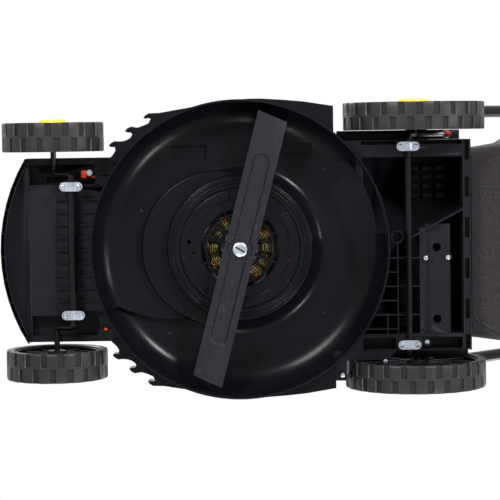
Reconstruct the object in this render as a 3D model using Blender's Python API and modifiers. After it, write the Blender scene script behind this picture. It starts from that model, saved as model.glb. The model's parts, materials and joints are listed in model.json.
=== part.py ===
"""Rotary lawn mower: moulded deck, cranked axles, four wheels, motor and blade, folding handle and grass bag."""

import math

import bmesh
import bpy
from mathutils import Matrix, Vector

# The design frame: X to the mower's left, Y to its rear with 0 at the blade's axis, Z up with 0 at the ground.
# All lengths are in metres, at the lowest cutting height.

# Clearances and common walls
GAP = 0.0003
WALL = 0.0035

# Cutting bowl
BOWL_RADIUS = 0.252
RIM_HEIGHT = 0.030
BOWL_TOP = 0.125
SHOULDER = 0.035
DRUM_TOP_RADIUS = 0.1265
DRUM_FLOOR_RADIUS = 0.119
DRUM_FLOOR = 0.084
MOTOR_HOLE = 0.103
BOWL_STEPS = 48
VOLUTE_RADIUS = 0.131
VOLUTE_FORWARD = 0.037
VOLUTE_FLOOR = 0.098

# Side skirts and their combs
SKIRT_LOW = 0.060
SKIRT_HIGH = 0.088
SKIRT_REAR = 0.160
SKIRT_HALF_WIDTH = 0.253
COMB_TIPS = ((0.176, -0.219), (0.201, -0.192), (0.223, -0.162))
COMB_NOTCH = (-0.008, 0.022)
COMB_CREST = (0.004, 0.018)

# Nose
NOSE_HALF_WIDTH = 0.157
NOSE_LENGTH = 0.153
NOSE_BOW = 0.044
NOSE_FRONT = -(BOWL_RADIUS + NOSE_LENGTH)
NOSE_CORNER = NOSE_FRONT + NOSE_BOW
NOSE_PANEL = 0.095
LIP_LOW = 0.062
LIP_WIDTH = 0.008
RIB = 0.0022
NOSE_RIB_PITCH = 0.0216
NOSE_RIB_SIDE_COUNT = 6
NOSE_RIB_LOW = 0.088
POCKET_MARGIN = 0.048
POCKET_OVERLAP = 0.007
CRANK_POCKET = (0.112, 0.146, NOSE_FRONT + POCKET_MARGIN, POCKET_OVERLAP - BOWL_RADIUS)
COVER_THICKNESS = 0.006

# Hood over the motor
HOOD_RADIUS = 0.200
HOOD_SIDE = 0.142
HOOD_HEIGHT = 0.268

# Motor and blade
PLATE_THICKNESS = 0.003
PLATE_LEDGE = 0.009
VENT_OUTER = 0.0665
VENT_RING_OUTER = 0.0596
VENT_RING_INNER = 0.056
VENT_WEBS = 8
BEARING_ARMS = 4
BEARING_BORE = 0.0084
MOTOR_CAN_RADIUS = 0.082
MOTOR_CAN_TOP = 0.170
CAN_WALL = 0.0035
SHAFT_RADIUS = 0.008
ROTOR_RADIUS = 0.0325
STATOR_LOW = 0.105
STATOR_HIGH = 0.150
WINDING_LOW = 0.090
BLADE_LENGTH = 0.461
BLADE_WIDTH = 0.052
BLADE_THICKNESS = 0.003
BLADE_LOW = 0.0455
BLADE_TURN = math.radians(14.6)
TIP_SLANT = math.tan(math.radians(9.3))
CHANNEL_DEPTH = 0.0025
CHANNEL_HALF_WIDTH = 0.0118
CHANNEL_END = 0.163
WING_START = 0.150
WING_LIFT = 0.012
BOLT_HEAD_RADIUS = 0.0127
BOLT_HEAD_HEIGHT = 0.007
WASHER_RADIUS = 0.0115
WASHER_THICKNESS = 0.0015
BOLT_SHANK = 0.005
CARRIER_RADIUS = 0.0105

# Axles and wheels
ROD_RADIUS = 0.005
BEND = 0.008
FRONT_SHAFT_REACH = 0.032
FRONT_THROW = 0.031
FRONT_SHAFT = (-(BOWL_RADIUS + FRONT_SHAFT_REACH), 0.068)
FRONT_WHEEL = (FRONT_SHAFT[0] - FRONT_THROW, 0.086)
FRONT_CRANK_X = 0.131
REAR_SHAFT = (0.287, 0.083)
REAR_WHEEL = (0.300, 0.121)
REAR_CRANK_X = 0.1885
HUB_BORE = 0.0057
HUB_RADIUS = 0.016
CAP_PROUD = 0.0055
TREAD_DEPTH = 0.003
FRONT_TYRE = {"radius": 0.086, "width": 0.049, "inner_x": 0.1685, "lugs": 18, "cap": 0.022}
REAR_TYRE = {"radius": 0.121, "width": 0.047, "inner_x": 0.1970, "lugs": 25, "cap": 0.0265}
CLAMP_LENGTH = 0.039
CLAMP_WIDTH = 0.0155
CLAMP_THICKNESS = 0.0015
CLAMP_SCREW_PITCH = 0.027
CLAMP_BOSS = 0.0048
FRONT_CLAMP_X = 0.109
REAR_CLAMP_X = 0.169

# Height levers
FRONT_LEVER_X = 0.1175
FRONT_LEVER_THICKNESS = 0.004
FRONT_LEVER_LENGTH = 0.150
FRONT_LEVER_LEAN = math.radians(30)
REAR_LEVER_RADIUS = 0.0035
REAR_LEVER_LENGTH = 0.120
REAR_LEVER_SLOPE = math.radians(60)

# Rear frame and discharge duct
FRAME_HALF_WIDTH = 0.180
FRAME_FRONT = 0.160
FRAME_REAR = 0.394
FRAME_LOW = 0.0885
FRAME_HIGH = 0.130
DUCT_HALF_WIDTH = 0.155
DUCT_WALL = 0.004
TUNNEL = (0.020, 0.148)
TUNNEL_LOW = 0.045
TUNNEL_HIGH = 0.119
RAIL_FRONT = 0.380
RAIL_SLOT = 0.034
RAIL_SLOT_XS = (0.162, 0.0993, 0.030, -0.040, -0.109, -0.1705)
LATTICE_Y = 0.2675
LATTICE_PITCH = 0.0243
LATTICE_COUNT = 6
STRIP = (0.306, 0.317)
PANEL_REAR = 0.359

# Handle
TUBE_RADIUS = 0.011
HANDLE_ANGLE = math.radians(45)
HANDLE_PIVOT = (0.3175, 0.270)
LOWER_HANDLE_X = 0.229
LOWER_LENGTH = 0.440
UPPER_LENGTH = 0.520
HANDLE_BEND = 0.045
TUBE_END = 0.018
PIN_RADIUS = 0.004
PIN_CLEARANCE = 0.0006
KNOB_RADIUS = 0.016
BAIL_START = 0.380
BAIL_LENGTH = 0.110
BAIL_OPEN = math.radians(25)
BAIL_RADIUS = 0.004
GRIP_RADIUS = 0.0155
GRIP_HALF_LENGTH = 0.125
SWITCH_BOX = (0.220, 0.330)
SWITCH_BOX_WIDTH = 0.072
SWITCH_BOX_HEIGHT = 0.056
BUTTON_RADIUS = 0.0105
BUTTON_PROUD = 0.006

# Rear flap and grass bag
FLAP_PIN = (0.3875, 0.2735)
FLAP_PIN_RADIUS = 0.003
FLAP_LENGTH = 0.125
FLAP_SLOPE = math.radians(26.6)
FLAP_THICKNESS = 0.003
FLAP_HALF_WIDTH = 0.145
BAG_FRAME_THICKNESS = 0.004
BAG_FRAME_HALF_WIDTH = 0.165
BAG_FRAME_LOW = 0.1325
BAG_FRAME_HIGH = 0.250
BAG_FRAME_BAND = 0.012
CLOTH = 0.002

FINISHES = {
    "deck_plastic": ((0.016, 0.016, 0.019), 0.38, 0.0),
    "grained_plastic": ((0.024, 0.023, 0.027), 0.62, 0.0),
    "tyre_plastic": ((0.045, 0.040, 0.040), 0.72, 0.0),
    "yellow_plastic": ((0.890, 0.500, 0.010), 0.40, 0.0),
    "red_plastic": ((0.650, 0.040, 0.010), 0.42, 0.0),
    "painted_steel": ((0.020, 0.020, 0.020), 0.45, 0.3),
    "zinc": ((0.550, 0.590, 0.660), 0.32, 1.0),
    "blade_steel": ((0.065, 0.060, 0.075), 0.46, 0.6),
    "copper": ((0.230, 0.180, 0.050), 0.40, 0.7),
    "core_steel": ((0.100, 0.100, 0.110), 0.55, 0.8),
    "bag_fabric": ((0.030, 0.026, 0.028), 0.92, 0.0),
}

for leftover in list(bpy.data.objects):
    bpy.data.objects.remove(leftover)
MOWER = bpy.data.collections.new("rotary_lawn_mower")
bpy.context.scene.collection.children.link(MOWER)


def tidy_mesh(mesh):
    """Merges points that coincide, drops slivers and turns every face outwards."""
    bm = bmesh.new()
    bm.from_mesh(mesh)
    bmesh.ops.remove_doubles(bm, verts=bm.verts, dist=2e-6)
    bmesh.ops.dissolve_degenerate(bm, edges=bm.edges, dist=2e-6)
    bmesh.ops.recalc_face_normals(bm, faces=bm.faces)
    bm.to_mesh(mesh)
    bm.free()
    return mesh


def settle(obj):
    """Replaces an object, with its modifiers or curve, by one plain mesh in the design frame."""
    bpy.context.view_layer.update()
    graph = bpy.context.evaluated_depsgraph_get()
    mesh = bpy.data.meshes.new_from_object(obj.evaluated_get(graph))
    mesh.transform(obj.matrix_world)
    name = obj.name
    bpy.data.objects.remove(obj)
    return mesh_object(name, tidy_mesh(mesh))


def mesh_object(name, mesh):
    """Links a mesh to the mower's collection as an object."""
    obj = bpy.data.objects.new(name, mesh)
    MOWER.objects.link(obj)
    return obj


def combine(target, tool, operation):
    """Joins a tool to a target, or cuts it out, and returns the one solid that is left."""
    modifier = target.modifiers.new("combine", "BOOLEAN")
    modifier.operation = operation
    modifier.solver = "EXACT"
    modifier.object = tool
    result = settle(target)
    bpy.data.objects.remove(tool)
    return result


def join(target, *tools):
    """The union of a solid with others that reach into it."""
    for tool in tools:
        target = combine(target, tool, "UNION")
    return target


def cut(target, *tools):
    """A solid less the space of others."""
    for tool in tools:
        target = combine(target, tool, "DIFFERENCE")
    return target


def box(name, low, high):
    """A block between two corners."""
    size = [b - a for a, b in zip(low, high)]
    middle = [(a + b) / 2 for a, b in zip(low, high)]
    bm = bmesh.new()
    bmesh.ops.create_cube(bm, size=1, matrix=Matrix.Translation(middle) @ Matrix.Diagonal((*size, 1)))
    mesh = bpy.data.meshes.new(name)
    bm.to_mesh(mesh)
    bm.free()
    return mesh_object(name, mesh)


def boxes(name, corners):
    """Several separate blocks in one tool."""
    bm = bmesh.new()
    for low, high in corners:
        size = [b - a for a, b in zip(low, high)]
        middle = [(a + b) / 2 for a, b in zip(low, high)]
        bmesh.ops.create_cube(bm, size=1, matrix=Matrix.Translation(middle) @ Matrix.Diagonal((*size, 1)))
    mesh = bpy.data.meshes.new(name)
    bm.to_mesh(mesh)
    bm.free()
    return mesh_object(name, mesh)


def cylinder(name, radius, start, end, sides=32):
    """A round bar between two points."""
    start, end = Vector(start), Vector(end)
    turn = (end - start).to_track_quat("Z", "Y").to_matrix().to_4x4()
    place = Matrix.Translation((start + end) / 2) @ turn
    bm = bmesh.new()
    bmesh.ops.create_cone(bm, cap_ends=True, segments=sides, radius1=radius, radius2=radius,
                          depth=(end - start).length, matrix=place)
    mesh = bpy.data.meshes.new(name)
    bm.to_mesh(mesh)
    bm.free()
    return mesh_object(name, mesh)


def flat_curve(name, outlines, thickness):
    """A filled flat curve of some thickness, with inner outlines as holes."""
    curve = bpy.data.curves.new(name, "CURVE")
    curve.dimensions = "2D"
    curve.fill_mode = "BOTH"
    curve.extrude = thickness / 2
    for outline in outlines:
        spline = curve.splines.new("POLY")
        spline.points.add(len(outline) - 1)
        spline.use_cyclic_u = True
        for point, (u, v) in zip(spline.points, outline):
            point.co = (u, v, 0, 1)
    obj = bpy.data.objects.new(name, curve)
    MOWER.objects.link(obj)
    return obj


def plate(name, outlines, low, high):
    """An outline in X and Y, from one height to another."""
    obj = flat_curve(name, outlines, high - low)
    obj.location.z = (low + high) / 2
    return settle(obj)


def side_plate(name, outlines, low_x, high_x):
    """An outline in Y and Z, from one X to another."""
    obj = flat_curve(name, outlines, high_x - low_x)
    obj.matrix_world = Matrix(((0, 0, 1, (low_x + high_x) / 2), (1, 0, 0, 0), (0, 1, 0, 0), (0, 0, 0, 1)))
    return settle(obj)


def front_plate(name, outlines, low_y, high_y):
    """An outline in X and Z, from one Y to another."""
    obj = flat_curve(name, outlines, high_y - low_y)
    obj.matrix_world = Matrix(((1, 0, 0, 0), (0, 0, -1, (low_y + high_y) / 2), (0, 1, 0, 0), (0, 0, 0, 1)))
    return settle(obj)


def turned(name, profile, steps, closed=True, thickness=0.0):
    """A profile of radius and height turned round Z. An open profile starts on the axis or gets a thickness."""
    area = sum(a[0] * b[1] - b[0] * a[1] for a, b in zip(profile, profile[1:] + profile[:1]))
    points = list(reversed(profile)) if closed and area > 0 else list(profile)
    mesh = bpy.data.meshes.new(name)
    edges = [(i, i + 1) for i in range(len(points) - 1)]
    if closed:
        edges.append((len(points) - 1, 0))
    mesh.from_pydata([(r, 0, z) for r, z in points], edges, [])
    obj = mesh_object(name, mesh)
    screw = obj.modifiers.new("turn", "SCREW")
    screw.axis = "Z"
    screw.steps = steps
    screw.render_steps = steps
    screw.use_merge_vertices = True
    screw.merge_threshold = 1e-5
    if thickness:
        shell = obj.modifiers.new("shell", "SOLIDIFY")
        shell.thickness = thickness
        shell.offset = -1
        shell.use_even_offset = True
    return settle(obj)


def place(obj, matrix):
    """Moves a finished solid in the design frame."""
    obj.data.transform(matrix)
    return obj


def along_x(x, y, z, outward):
    """Turns a piece that was made round Z so that its Z points to +X or -X, with its foot at a point."""
    turn = Matrix.Rotation(math.radians(90) * outward, 4, "Y")
    return Matrix.Translation((x, y, z)) @ turn


def rounded_path(points, radius, steps=4):
    """The points of a path whose inner corners are rounded."""
    points = [Vector(p) for p in points]
    path = [points[0]]
    for before, corner, after in zip(points, points[1:], points[2:]):
        to_before = (before - corner).normalized()
        to_after = (after - corner).normalized()
        half = to_before.angle(to_after) / 2
        if half > math.radians(89):
            path.append(corner)
            continue
        reach = radius / math.tan(half)
        centre = corner + (to_before + to_after).normalized() * (radius / math.sin(half))
        start = corner + to_before * reach - centre
        end = corner + to_after * reach - centre
        axis = start.cross(end)
        for k in range(steps + 1):
            path.append(centre + Matrix.Rotation(start.angle(end) * k / steps, 3, axis) @ start)
    path.append(points[-1])
    return path


def tube(name, points, radius, resolution=2):
    """A round bar or tube along a path, with filled ends."""
    curve = bpy.data.curves.new(name, "CURVE")
    curve.dimensions = "3D"
    curve.bevel_depth = radius
    curve.bevel_resolution = resolution
    curve.use_fill_caps = True
    spline = curve.splines.new("POLY")
    spline.points.add(len(points) - 1)
    for point, spot in zip(spline.points, points):
        point.co = (*spot, 1)
    obj = bpy.data.objects.new(name, curve)
    MOWER.objects.link(obj)
    return settle(obj)


def circle(radius, centre=(0, 0), count=16):
    """The points of a round outline."""
    return [(centre[0] + radius * math.cos(2 * math.pi * k / count),
             centre[1] + radius * math.sin(2 * math.pi * k / count)) for k in range(count)]


def capsule(start, end, start_radius, end_radius, count=7):
    """The outline of a bar with round ends."""
    heading = math.atan2(end[1] - start[1], end[0] - start[0])
    outline = []
    for centre, radius, base in ((end, end_radius, heading - math.pi / 2),
                                 (start, start_radius, heading + math.pi / 2)):
        for k in range(count):
            angle = base + math.pi * k / (count - 1)
            outline.append((centre[0] + radius * math.cos(angle), centre[1] + radius * math.sin(angle)))
    return outline


def loft(name, sections, close_ends=True):
    """A skin over rings of points, each ring with as many points as the next."""
    bm = bmesh.new()
    rings = [[bm.verts.new(p) for p in ring] for ring in sections]
    count = len(rings[0])
    for ring, after in zip(rings, rings[1:]):
        for k in range(count):
            bm.faces.new((ring[k], ring[(k + 1) % count], after[(k + 1) % count], after[k]))
    if close_ends:
        bm.faces.new(rings[0])
        bm.faces.new(rings[-1])
    bmesh.ops.recalc_face_normals(bm, faces=bm.faces)
    mesh = bpy.data.meshes.new(name)
    bm.to_mesh(mesh)
    bm.free()
    return mesh_object(name, mesh)


ROOT = bpy.data.objects.new("mower_origin", None)
MOWER.objects.link(ROOT)


def joint_point(name, point, parent=ROOT):
    """An empty on a joint's axis, which carries the pieces that turn or slide there."""
    empty = bpy.data.objects.new(name, None)
    MOWER.objects.link(empty)
    empty.parent = parent
    base = Vector(parent["spot"]) if "spot" in parent else Vector((0, 0, 0))
    empty.location = Vector(point) - base
    empty["spot"] = tuple(point)
    return empty


def finish(obj, name, look, carrier=ROOT):
    """Names a piece, gives it its own material and hangs it on what carries it."""
    obj.name = name
    obj.data.name = name
    colour, roughness, metallic = FINISHES[look]
    material = bpy.data.materials.new(name)
    material.use_nodes = True
    shader = material.node_tree.nodes["Principled BSDF"]
    shader.inputs["Base Color"].default_value = (*colour, 1)
    shader.inputs["Roughness"].default_value = roughness
    shader.inputs["Metallic"].default_value = metallic
    obj.data.materials.clear()
    obj.data.materials.append(material)
    obj.data.shade_smooth()
    obj.data.set_sharp_from_angle(angle=math.radians(35))
    obj.parent = carrier
    spot = Vector(carrier["spot"]) if "spot" in carrier else Vector((0, 0, 0))
    obj.matrix_parent_inverse = Matrix.Translation(-spot)
    return obj


def mirrored(outline):
    """The right-hand copy of an outline on the left side."""
    return [(-x, y) for x, y in reversed(outline)]


def shoulder_profile():
    """The upper face of the bowl from the motor's hole out to the rim."""
    centre = (BOWL_RADIUS - SHOULDER, BOWL_TOP - SHOULDER)
    arc = [(centre[0] + SHOULDER * math.sin(math.radians(a)), centre[1] + SHOULDER * math.cos(math.radians(a)))
           for a in (0, 22.5, 45, 67.5, 90)]
    return [(MOTOR_HOLE, DRUM_FLOOR), (DRUM_FLOOR_RADIUS, DRUM_FLOOR), (DRUM_TOP_RADIUS, BOWL_TOP),
            *arc, (BOWL_RADIUS, RIM_HEIGHT)]


def skirt_outline():
    """The left side skirt in plan, with three forward hooks at its front corner."""
    outline = [(0.150, -0.196), (0.156, -0.212)]
    for x, y in COMB_TIPS:
        outline.append((x + COMB_NOTCH[0], y + COMB_NOTCH[1]))
        outline.append((x, y))
        outline.append((x + COMB_CREST[0], y + COMB_CREST[1]))
    outline += [(0.2435, -0.059), (SKIRT_HALF_WIDTH, 0.017), (SKIRT_HALF_WIDTH, 0.037), (0.247, 0.111),
                (0.239, SKIRT_REAR), (0.195, SKIRT_REAR), (0.150, 0.190)]
    return outline


def build_deck():
    """The cutting bowl with its drum, volute step, side skirts and discharge opening."""
    deck = turned("deck", shoulder_profile(), BOWL_STEPS, closed=False, thickness=WALL)
    volute = cylinder("volute", VOLUTE_RADIUS, (0, -VOLUTE_FORWARD, VOLUTE_FLOOR),
                      (0, -VOLUTE_FORWARD, BOWL_TOP - 0.001), 48)
    volute = cut(volute, cylinder("drum", DRUM_FLOOR_RADIUS + 0.003, (0, 0, 0), (0, 0, BOWL_TOP), 48))
    deck = join(deck, volute)
    for outline in (skirt_outline(), mirrored(skirt_outline())):
        skirt = plate("skirt", [outline], SKIRT_LOW, SKIRT_HIGH)
        skirt = cut(skirt, cylinder("bowl", BOWL_RADIUS - WALL / 2, (0, 0, 0), (0, 0, BOWL_TOP), BOWL_STEPS))
        deck = join(deck, skirt)
    deck = cut(deck, box("outlet", (TUNNEL[0], 0.150, TUNNEL_LOW), (TUNNEL[1], 0.262, TUNNEL_HIGH)))
    finish(deck, "deck_bowl", "deck_plastic")


def nose_outline(inset=0.0, rear=-0.180):
    """The nose in plan: straight sides and a shallow arc across the front."""
    half = NOSE_HALF_WIDTH
    rise = NOSE_CORNER - NOSE_FRONT
    radius = (half * half + rise * rise) / (2 * rise)
    centre = NOSE_FRONT + radius
    radius -= inset
    half -= inset
    limit = math.asin(half / radius)
    arc = [(radius * math.sin(limit * (1 - k / 6)), centre - radius * math.cos(limit * (1 - k / 6)))
           for k in range(13)]
    return [(half, rear), (-half, rear), *reversed(arc)]


def clamp_boss_tool(x, shaft, top):
    """The two screw bosses that a clamp plate is screwed to, under a panel at some height."""
    corners = []
    low = shaft[1] - ROD_RADIUS
    for side in (-1, 1):
        y = shaft[0] + side * CLAMP_SCREW_PITCH / 2
        corners.append(((x - CLAMP_BOSS, y - CLAMP_BOSS, low), (x + CLAMP_BOSS, y + CLAMP_BOSS, top)))
    return boxes("bosses", corners)


def build_nose():
    """The nose moulding: panel, walls, front lip, crank pockets, ribs and clamp bosses, and its cover."""
    top = BOWL_TOP + GAP
    nose = plate("nose", [nose_outline()], NOSE_PANEL, top)
    hollow = plate("hollow", [nose_outline(WALL, -0.100)], NOSE_PANEL + WALL, top + 0.01)
    hollow = cut(hollow, cylinder("bowl", BOWL_RADIUS + WALL, (0, 0, 0), (0, 0, 0.2), BOWL_STEPS))
    nose = cut(nose, hollow)
    lip = plate("lip", [nose_outline()], LIP_LOW, NOSE_PANEL + 0.001)
    lip = cut(lip, plate("inner", [nose_outline(LIP_WIDTH, 0.0)], 0, 0.2),
              box("rear", (-0.2, NOSE_CORNER, 0), (0.2, 0.1, 0.2)))
    nose = join(nose, lip)
    inner, outer, front, rear = CRANK_POCKET
    pocket_top = top - WALL
    ribs = []
    for k in range(-NOSE_RIB_SIDE_COUNT, NOSE_RIB_SIDE_COUNT + 1):
        x = k * NOSE_RIB_PITCH
        start = rear + WALL if abs(x) > inner - WALL else FRONT_SHAFT[0] - 0.029
        ribs.append(((x - RIB / 2, start, NOSE_RIB_LOW), (x + RIB / 2, -0.180, NOSE_PANEL + 0.001)))
    nose = join(nose, boxes("ribs", ribs))
    for side in (1, -1):
        xs = sorted((side * (inner - WALL), side * (outer + WALL)))
        nose = join(nose, box("pocket_walls", (xs[0], front - WALL, NOSE_PANEL + 0.001),
                              (xs[1], rear + WALL, top)))
        xs = sorted((side * inner, side * outer))
        nose = cut(nose, box("pocket", (xs[0], front, 0), (xs[1], rear, pocket_top)))
        nose = join(nose, clamp_boss_tool(side * FRONT_CLAMP_X, FRONT_SHAFT, NOSE_PANEL + 0.001))
    nose = cut(nose, cylinder("bowl", BOWL_RADIUS + GAP, (0, 0, 0), (0, 0, 0.2), BOWL_STEPS), lever_slot())
    finish(nose, "front_nose", "grained_plastic")
    cover = plate("cover", [nose_outline(0.001, 0.0)], top + GAP, top + GAP + COVER_THICKNESS)
    cover = cut(cover, cylinder("hood", HOOD_RADIUS + 0.002, (0, 0, 0), (0, 0, 0.3), 48), lever_slot())
    finish(cover, "nose_cover", "grained_plastic")


def lever_slot():
    """The slot that the front height lever swings in."""
    reach = (BOWL_TOP + COVER_THICKNESS - FRONT_SHAFT[1]) * math.tan(FRONT_LEVER_LEAN) + 0.010
    middle = FRONT_LEVER_X + FRONT_LEVER_THICKNESS / 2
    return box("slot", (middle - 0.005, FRONT_SHAFT[0] - reach, NOSE_PANEL + 0.01),
               (middle + 0.005, FRONT_SHAFT[0] + reach, 0.2))


def build_hood():
    """The motor hood: a stepped dome on the bowl's roof."""
    foot = BOWL_TOP + GAP
    profile = [(0, HOOD_HEIGHT), (0.045, HOOD_HEIGHT - 0.001), (0.085, HOOD_HEIGHT - 0.008),
               (0.110, HOOD_HEIGHT - 0.024), (0.124, HOOD_HEIGHT - 0.056), (0.150, 0.178),
               (HOOD_RADIUS - 0.020, 0.160), (HOOD_RADIUS, HOOD_SIDE), (HOOD_RADIUS, foot)]
    hood = turned("hood", profile, 32, closed=False, thickness=WALL)
    finish(hood, "motor_hood", "grained_plastic")


def build_motor():
    """The motor: mounting plate with its vent and bearing, can, stator and windings."""
    low = DRUM_FLOOR - PLATE_THICKNESS
    seat = DRUM_FLOOR + GAP
    high = seat + PLATE_THICKNESS
    mount = turned("mount", [(VENT_OUTER, low), (MOTOR_HOLE - 3 * GAP, low), (MOTOR_HOLE - 3 * GAP, seat),
                             (MOTOR_HOLE + PLATE_LEDGE, seat), (MOTOR_HOLE + PLATE_LEDGE, high),
                             (VENT_OUTER, high)], 32)
    mount = join(mount, turned("ring", [(VENT_RING_INNER, low), (VENT_RING_OUTER, low),
                                        (VENT_RING_OUTER, high), (VENT_RING_INNER, high)], 24))
    bearing = BEARING_BORE + 0.006
    mount = join(mount, turned("bearing", [(BEARING_BORE, low), (bearing, low), (bearing, high),
                                           (BEARING_BORE, high)], 16))
    for k in range(VENT_WEBS):
        web = box("web", (VENT_RING_INNER + 0.001, -0.0015, low + 0.0005),
                  (VENT_OUTER + 0.001, 0.0015, high - 0.0005))
        mount = join(mount, place(web, Matrix.Rotation(2 * math.pi * (k + 0.5) / VENT_WEBS, 4, "Z")))
    for k in range(BEARING_ARMS):
        arm = box("arm", (BEARING_BORE + 0.003, -0.003, low + 0.0012),
                  (VENT_RING_INNER + 0.002, 0.003, high - 0.0006))
        mount = join(mount, place(arm, Matrix.Rotation(2 * math.pi * (k + 0.25) / BEARING_ARMS, 4, "Z")))
    finish(mount, "motor_plate", "deck_plastic")
    inner = MOTOR_CAN_RADIUS - CAN_WALL
    can = turned("can", [(BEARING_BORE, MOTOR_CAN_TOP), (MOTOR_CAN_RADIUS, MOTOR_CAN_TOP),
                         (MOTOR_CAN_RADIUS, high + GAP), (inner, high + GAP),
                         (inner, MOTOR_CAN_TOP - CAN_WALL), (BEARING_BORE, MOTOR_CAN_TOP - CAN_WALL)], 24)
    finish(can, "motor_can", "grained_plastic")
    core = turned("core", [(ROTOR_RADIUS + 0.001, STATOR_LOW), (inner - GAP, STATOR_LOW),
                           (inner - GAP, STATOR_HIGH), (ROTOR_RADIUS + 0.001, STATOR_HIGH)], 24)
    finish(core, "stator_core", "core_steel")
    middle = (ROTOR_RADIUS + 0.004 + 0.062) / 2
    half_width = (0.062 - ROTOR_RADIUS - 0.004) / 2
    half_height = (STATOR_LOW - WINDING_LOW - GAP) / 2
    peak = half_height / math.sin(math.radians(60))
    ring = [(middle + half_width * math.cos(math.radians(a)),
             WINDING_LOW + half_height + peak * math.sin(math.radians(a)))
            for a in range(0, 360, 60)]
    finish(turned("winding", ring, 24), "motor_windings", "copper")


def blade_point(u, v, upper):
    """A point of the blade: u along it, v across it from the front edge at +u to the rear edge."""
    side = 1 if u >= 0 else -1
    across = v * side
    along = u - abs(u) / (BLADE_LENGTH / 2) * v * TIP_SLANT
    pressed = CHANNEL_DEPTH if abs(v) <= CHANNEL_HALF_WIDTH and abs(u) < CHANNEL_END else 0
    wing = max(0, (abs(u) - WING_START) / (BLADE_LENGTH / 2 - WING_START))
    lift = WING_LIFT * wing * max(0, across - 0.004) / (BLADE_WIDTH / 2)
    edge = 0.0022 if across < -BLADE_WIDTH / 2 + 0.001 and abs(u) > 0.12 else 0
    height = BLADE_LOW + pressed + lift + (BLADE_THICKNESS - edge if upper else 0)
    return Vector((along, v, height))


def build_blade():
    """The blade assembly: pressed blade, its bolt and washer, and the motor's shaft with its rotor."""
    half = BLADE_LENGTH / 2
    stations = [-half, -0.198, -WING_START, -CHANNEL_END - 0.008, -CHANNEL_END + 0.004, -0.12, 0.0,
                0.12, CHANNEL_END - 0.004, CHANNEL_END + 0.008, WING_START, 0.198, half]
    stations.sort()
    edge = BLADE_WIDTH / 2
    flank = CHANNEL_HALF_WIDTH + 0.003
    columns = (-edge, -edge + 0.010, -flank, -CHANNEL_HALF_WIDTH, CHANNEL_HALF_WIDTH, flank, edge - 0.010, edge)
    sections = []
    for u in stations:
        upper = [blade_point(u, v, True) for v in columns]
        lower = [blade_point(u, v, False) for v in reversed(columns)]
        sections.append(upper + lower)
    blade = loft("blade", sections)
    pressed_low = BLADE_LOW + CHANNEL_DEPTH
    pressed_high = pressed_low + BLADE_THICKNESS
    blade = cut(blade, cylinder("hole", BOLT_SHANK + 3 * GAP, (0, 0, 0), (0, 0, 0.1), 24))
    turn = Matrix.Rotation(BLADE_TURN, 4, "Z")
    empty = joint_point("blade_axis", (0, 0, pressed_low))
    finish(place(blade, turn), "blade", "blade_steel", empty)
    washer_high = pressed_low - GAP
    washer_low = washer_high - WASHER_THICKNESS
    finish(turned("washer", [(BOLT_SHANK + 2 * GAP, washer_low), (WASHER_RADIUS, washer_low),
                             (WASHER_RADIUS, washer_high), (BOLT_SHANK + 2 * GAP, washer_high)], 24),
           "blade_washer", "blade_steel", empty)
    head_high = washer_low - GAP
    head_low = head_high - BOLT_HEAD_HEIGHT
    bolt = turned("bolt", [(0, pressed_high + 0.006), (BOLT_SHANK, pressed_high + 0.006),
                           (BOLT_SHANK, head_high), (WASHER_RADIUS - 0.001, head_high),
                           (BOLT_HEAD_RADIUS, head_high - 0.001), (BOLT_HEAD_RADIUS, head_low + 0.0015),
                           (BOLT_HEAD_RADIUS - 0.002, head_low), (0, head_low)], 24, closed=False)
    finish(bolt, "blade_bolt", "zinc", empty)
    foot = pressed_high + GAP
    flange_high = foot + 0.010
    shaft = turned("shaft", [(BOLT_SHANK + 2 * GAP, foot), (CARRIER_RADIUS, foot), (CARRIER_RADIUS, flange_high),
                             (SHAFT_RADIUS, flange_high + 0.002), (SHAFT_RADIUS, STATOR_LOW + 0.002),
                             (ROTOR_RADIUS, STATOR_LOW + 0.002), (ROTOR_RADIUS, STATOR_HIGH - 0.002),
                             (SHAFT_RADIUS, STATOR_HIGH - 0.002), (SHAFT_RADIUS, MOTOR_CAN_TOP + 0.006),
                             (0, MOTOR_CAN_TOP + 0.006), (0, foot + 0.007), (BOLT_SHANK + 2 * GAP, foot + 0.007)],
                   16)
    finish(shaft, "motor_shaft", "zinc", empty)


def tyre_solid(tyre):
    """A ring with two rows of lugs, the second offset by half a pitch."""
    lugs, radius, width = tyre["lugs"], tyre["radius"], tyre["width"]
    low = radius - TREAD_DEPTH
    inner = radius - 0.014
    flank = 0.07
    first, second = [], []
    for k in range(lugs):
        for part, (a, b) in ((flank, (radius, low)), (0.5 - flank, (radius, low)),
                             (0.5 + flank, (low, radius)), (1 - flank, (low, radius))):
            angle = 2 * math.pi * (k + part) / lugs
            first.append((angle, a))
            second.append((angle, b))

    def ring(axial, radii):
        return [(r * math.cos(angle), r * math.sin(angle), axial) for angle, r in radii]

    flat = [(angle, inner) for angle, r in first]
    half = width / 2
    sections = [ring(0, flat), ring(0, first), ring(half - 0.0006, first),
                ring(half + 0.0006, second), ring(width, second), ring(width, flat)]
    bm = bmesh.new()
    rings = [[bm.verts.new(p) for p in section] for section in sections]
    rings.append(rings[0])
    count = len(first)
    for now, after in zip(rings, rings[1:]):
        for k in range(count):
            bm.faces.new((now[k], now[(k + 1) % count], after[(k + 1) % count], after[k]))
    mesh = bpy.data.meshes.new("tyre")
    bm.to_mesh(mesh)
    bm.free()
    return mesh_object("tyre", tidy_mesh(mesh))


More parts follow.
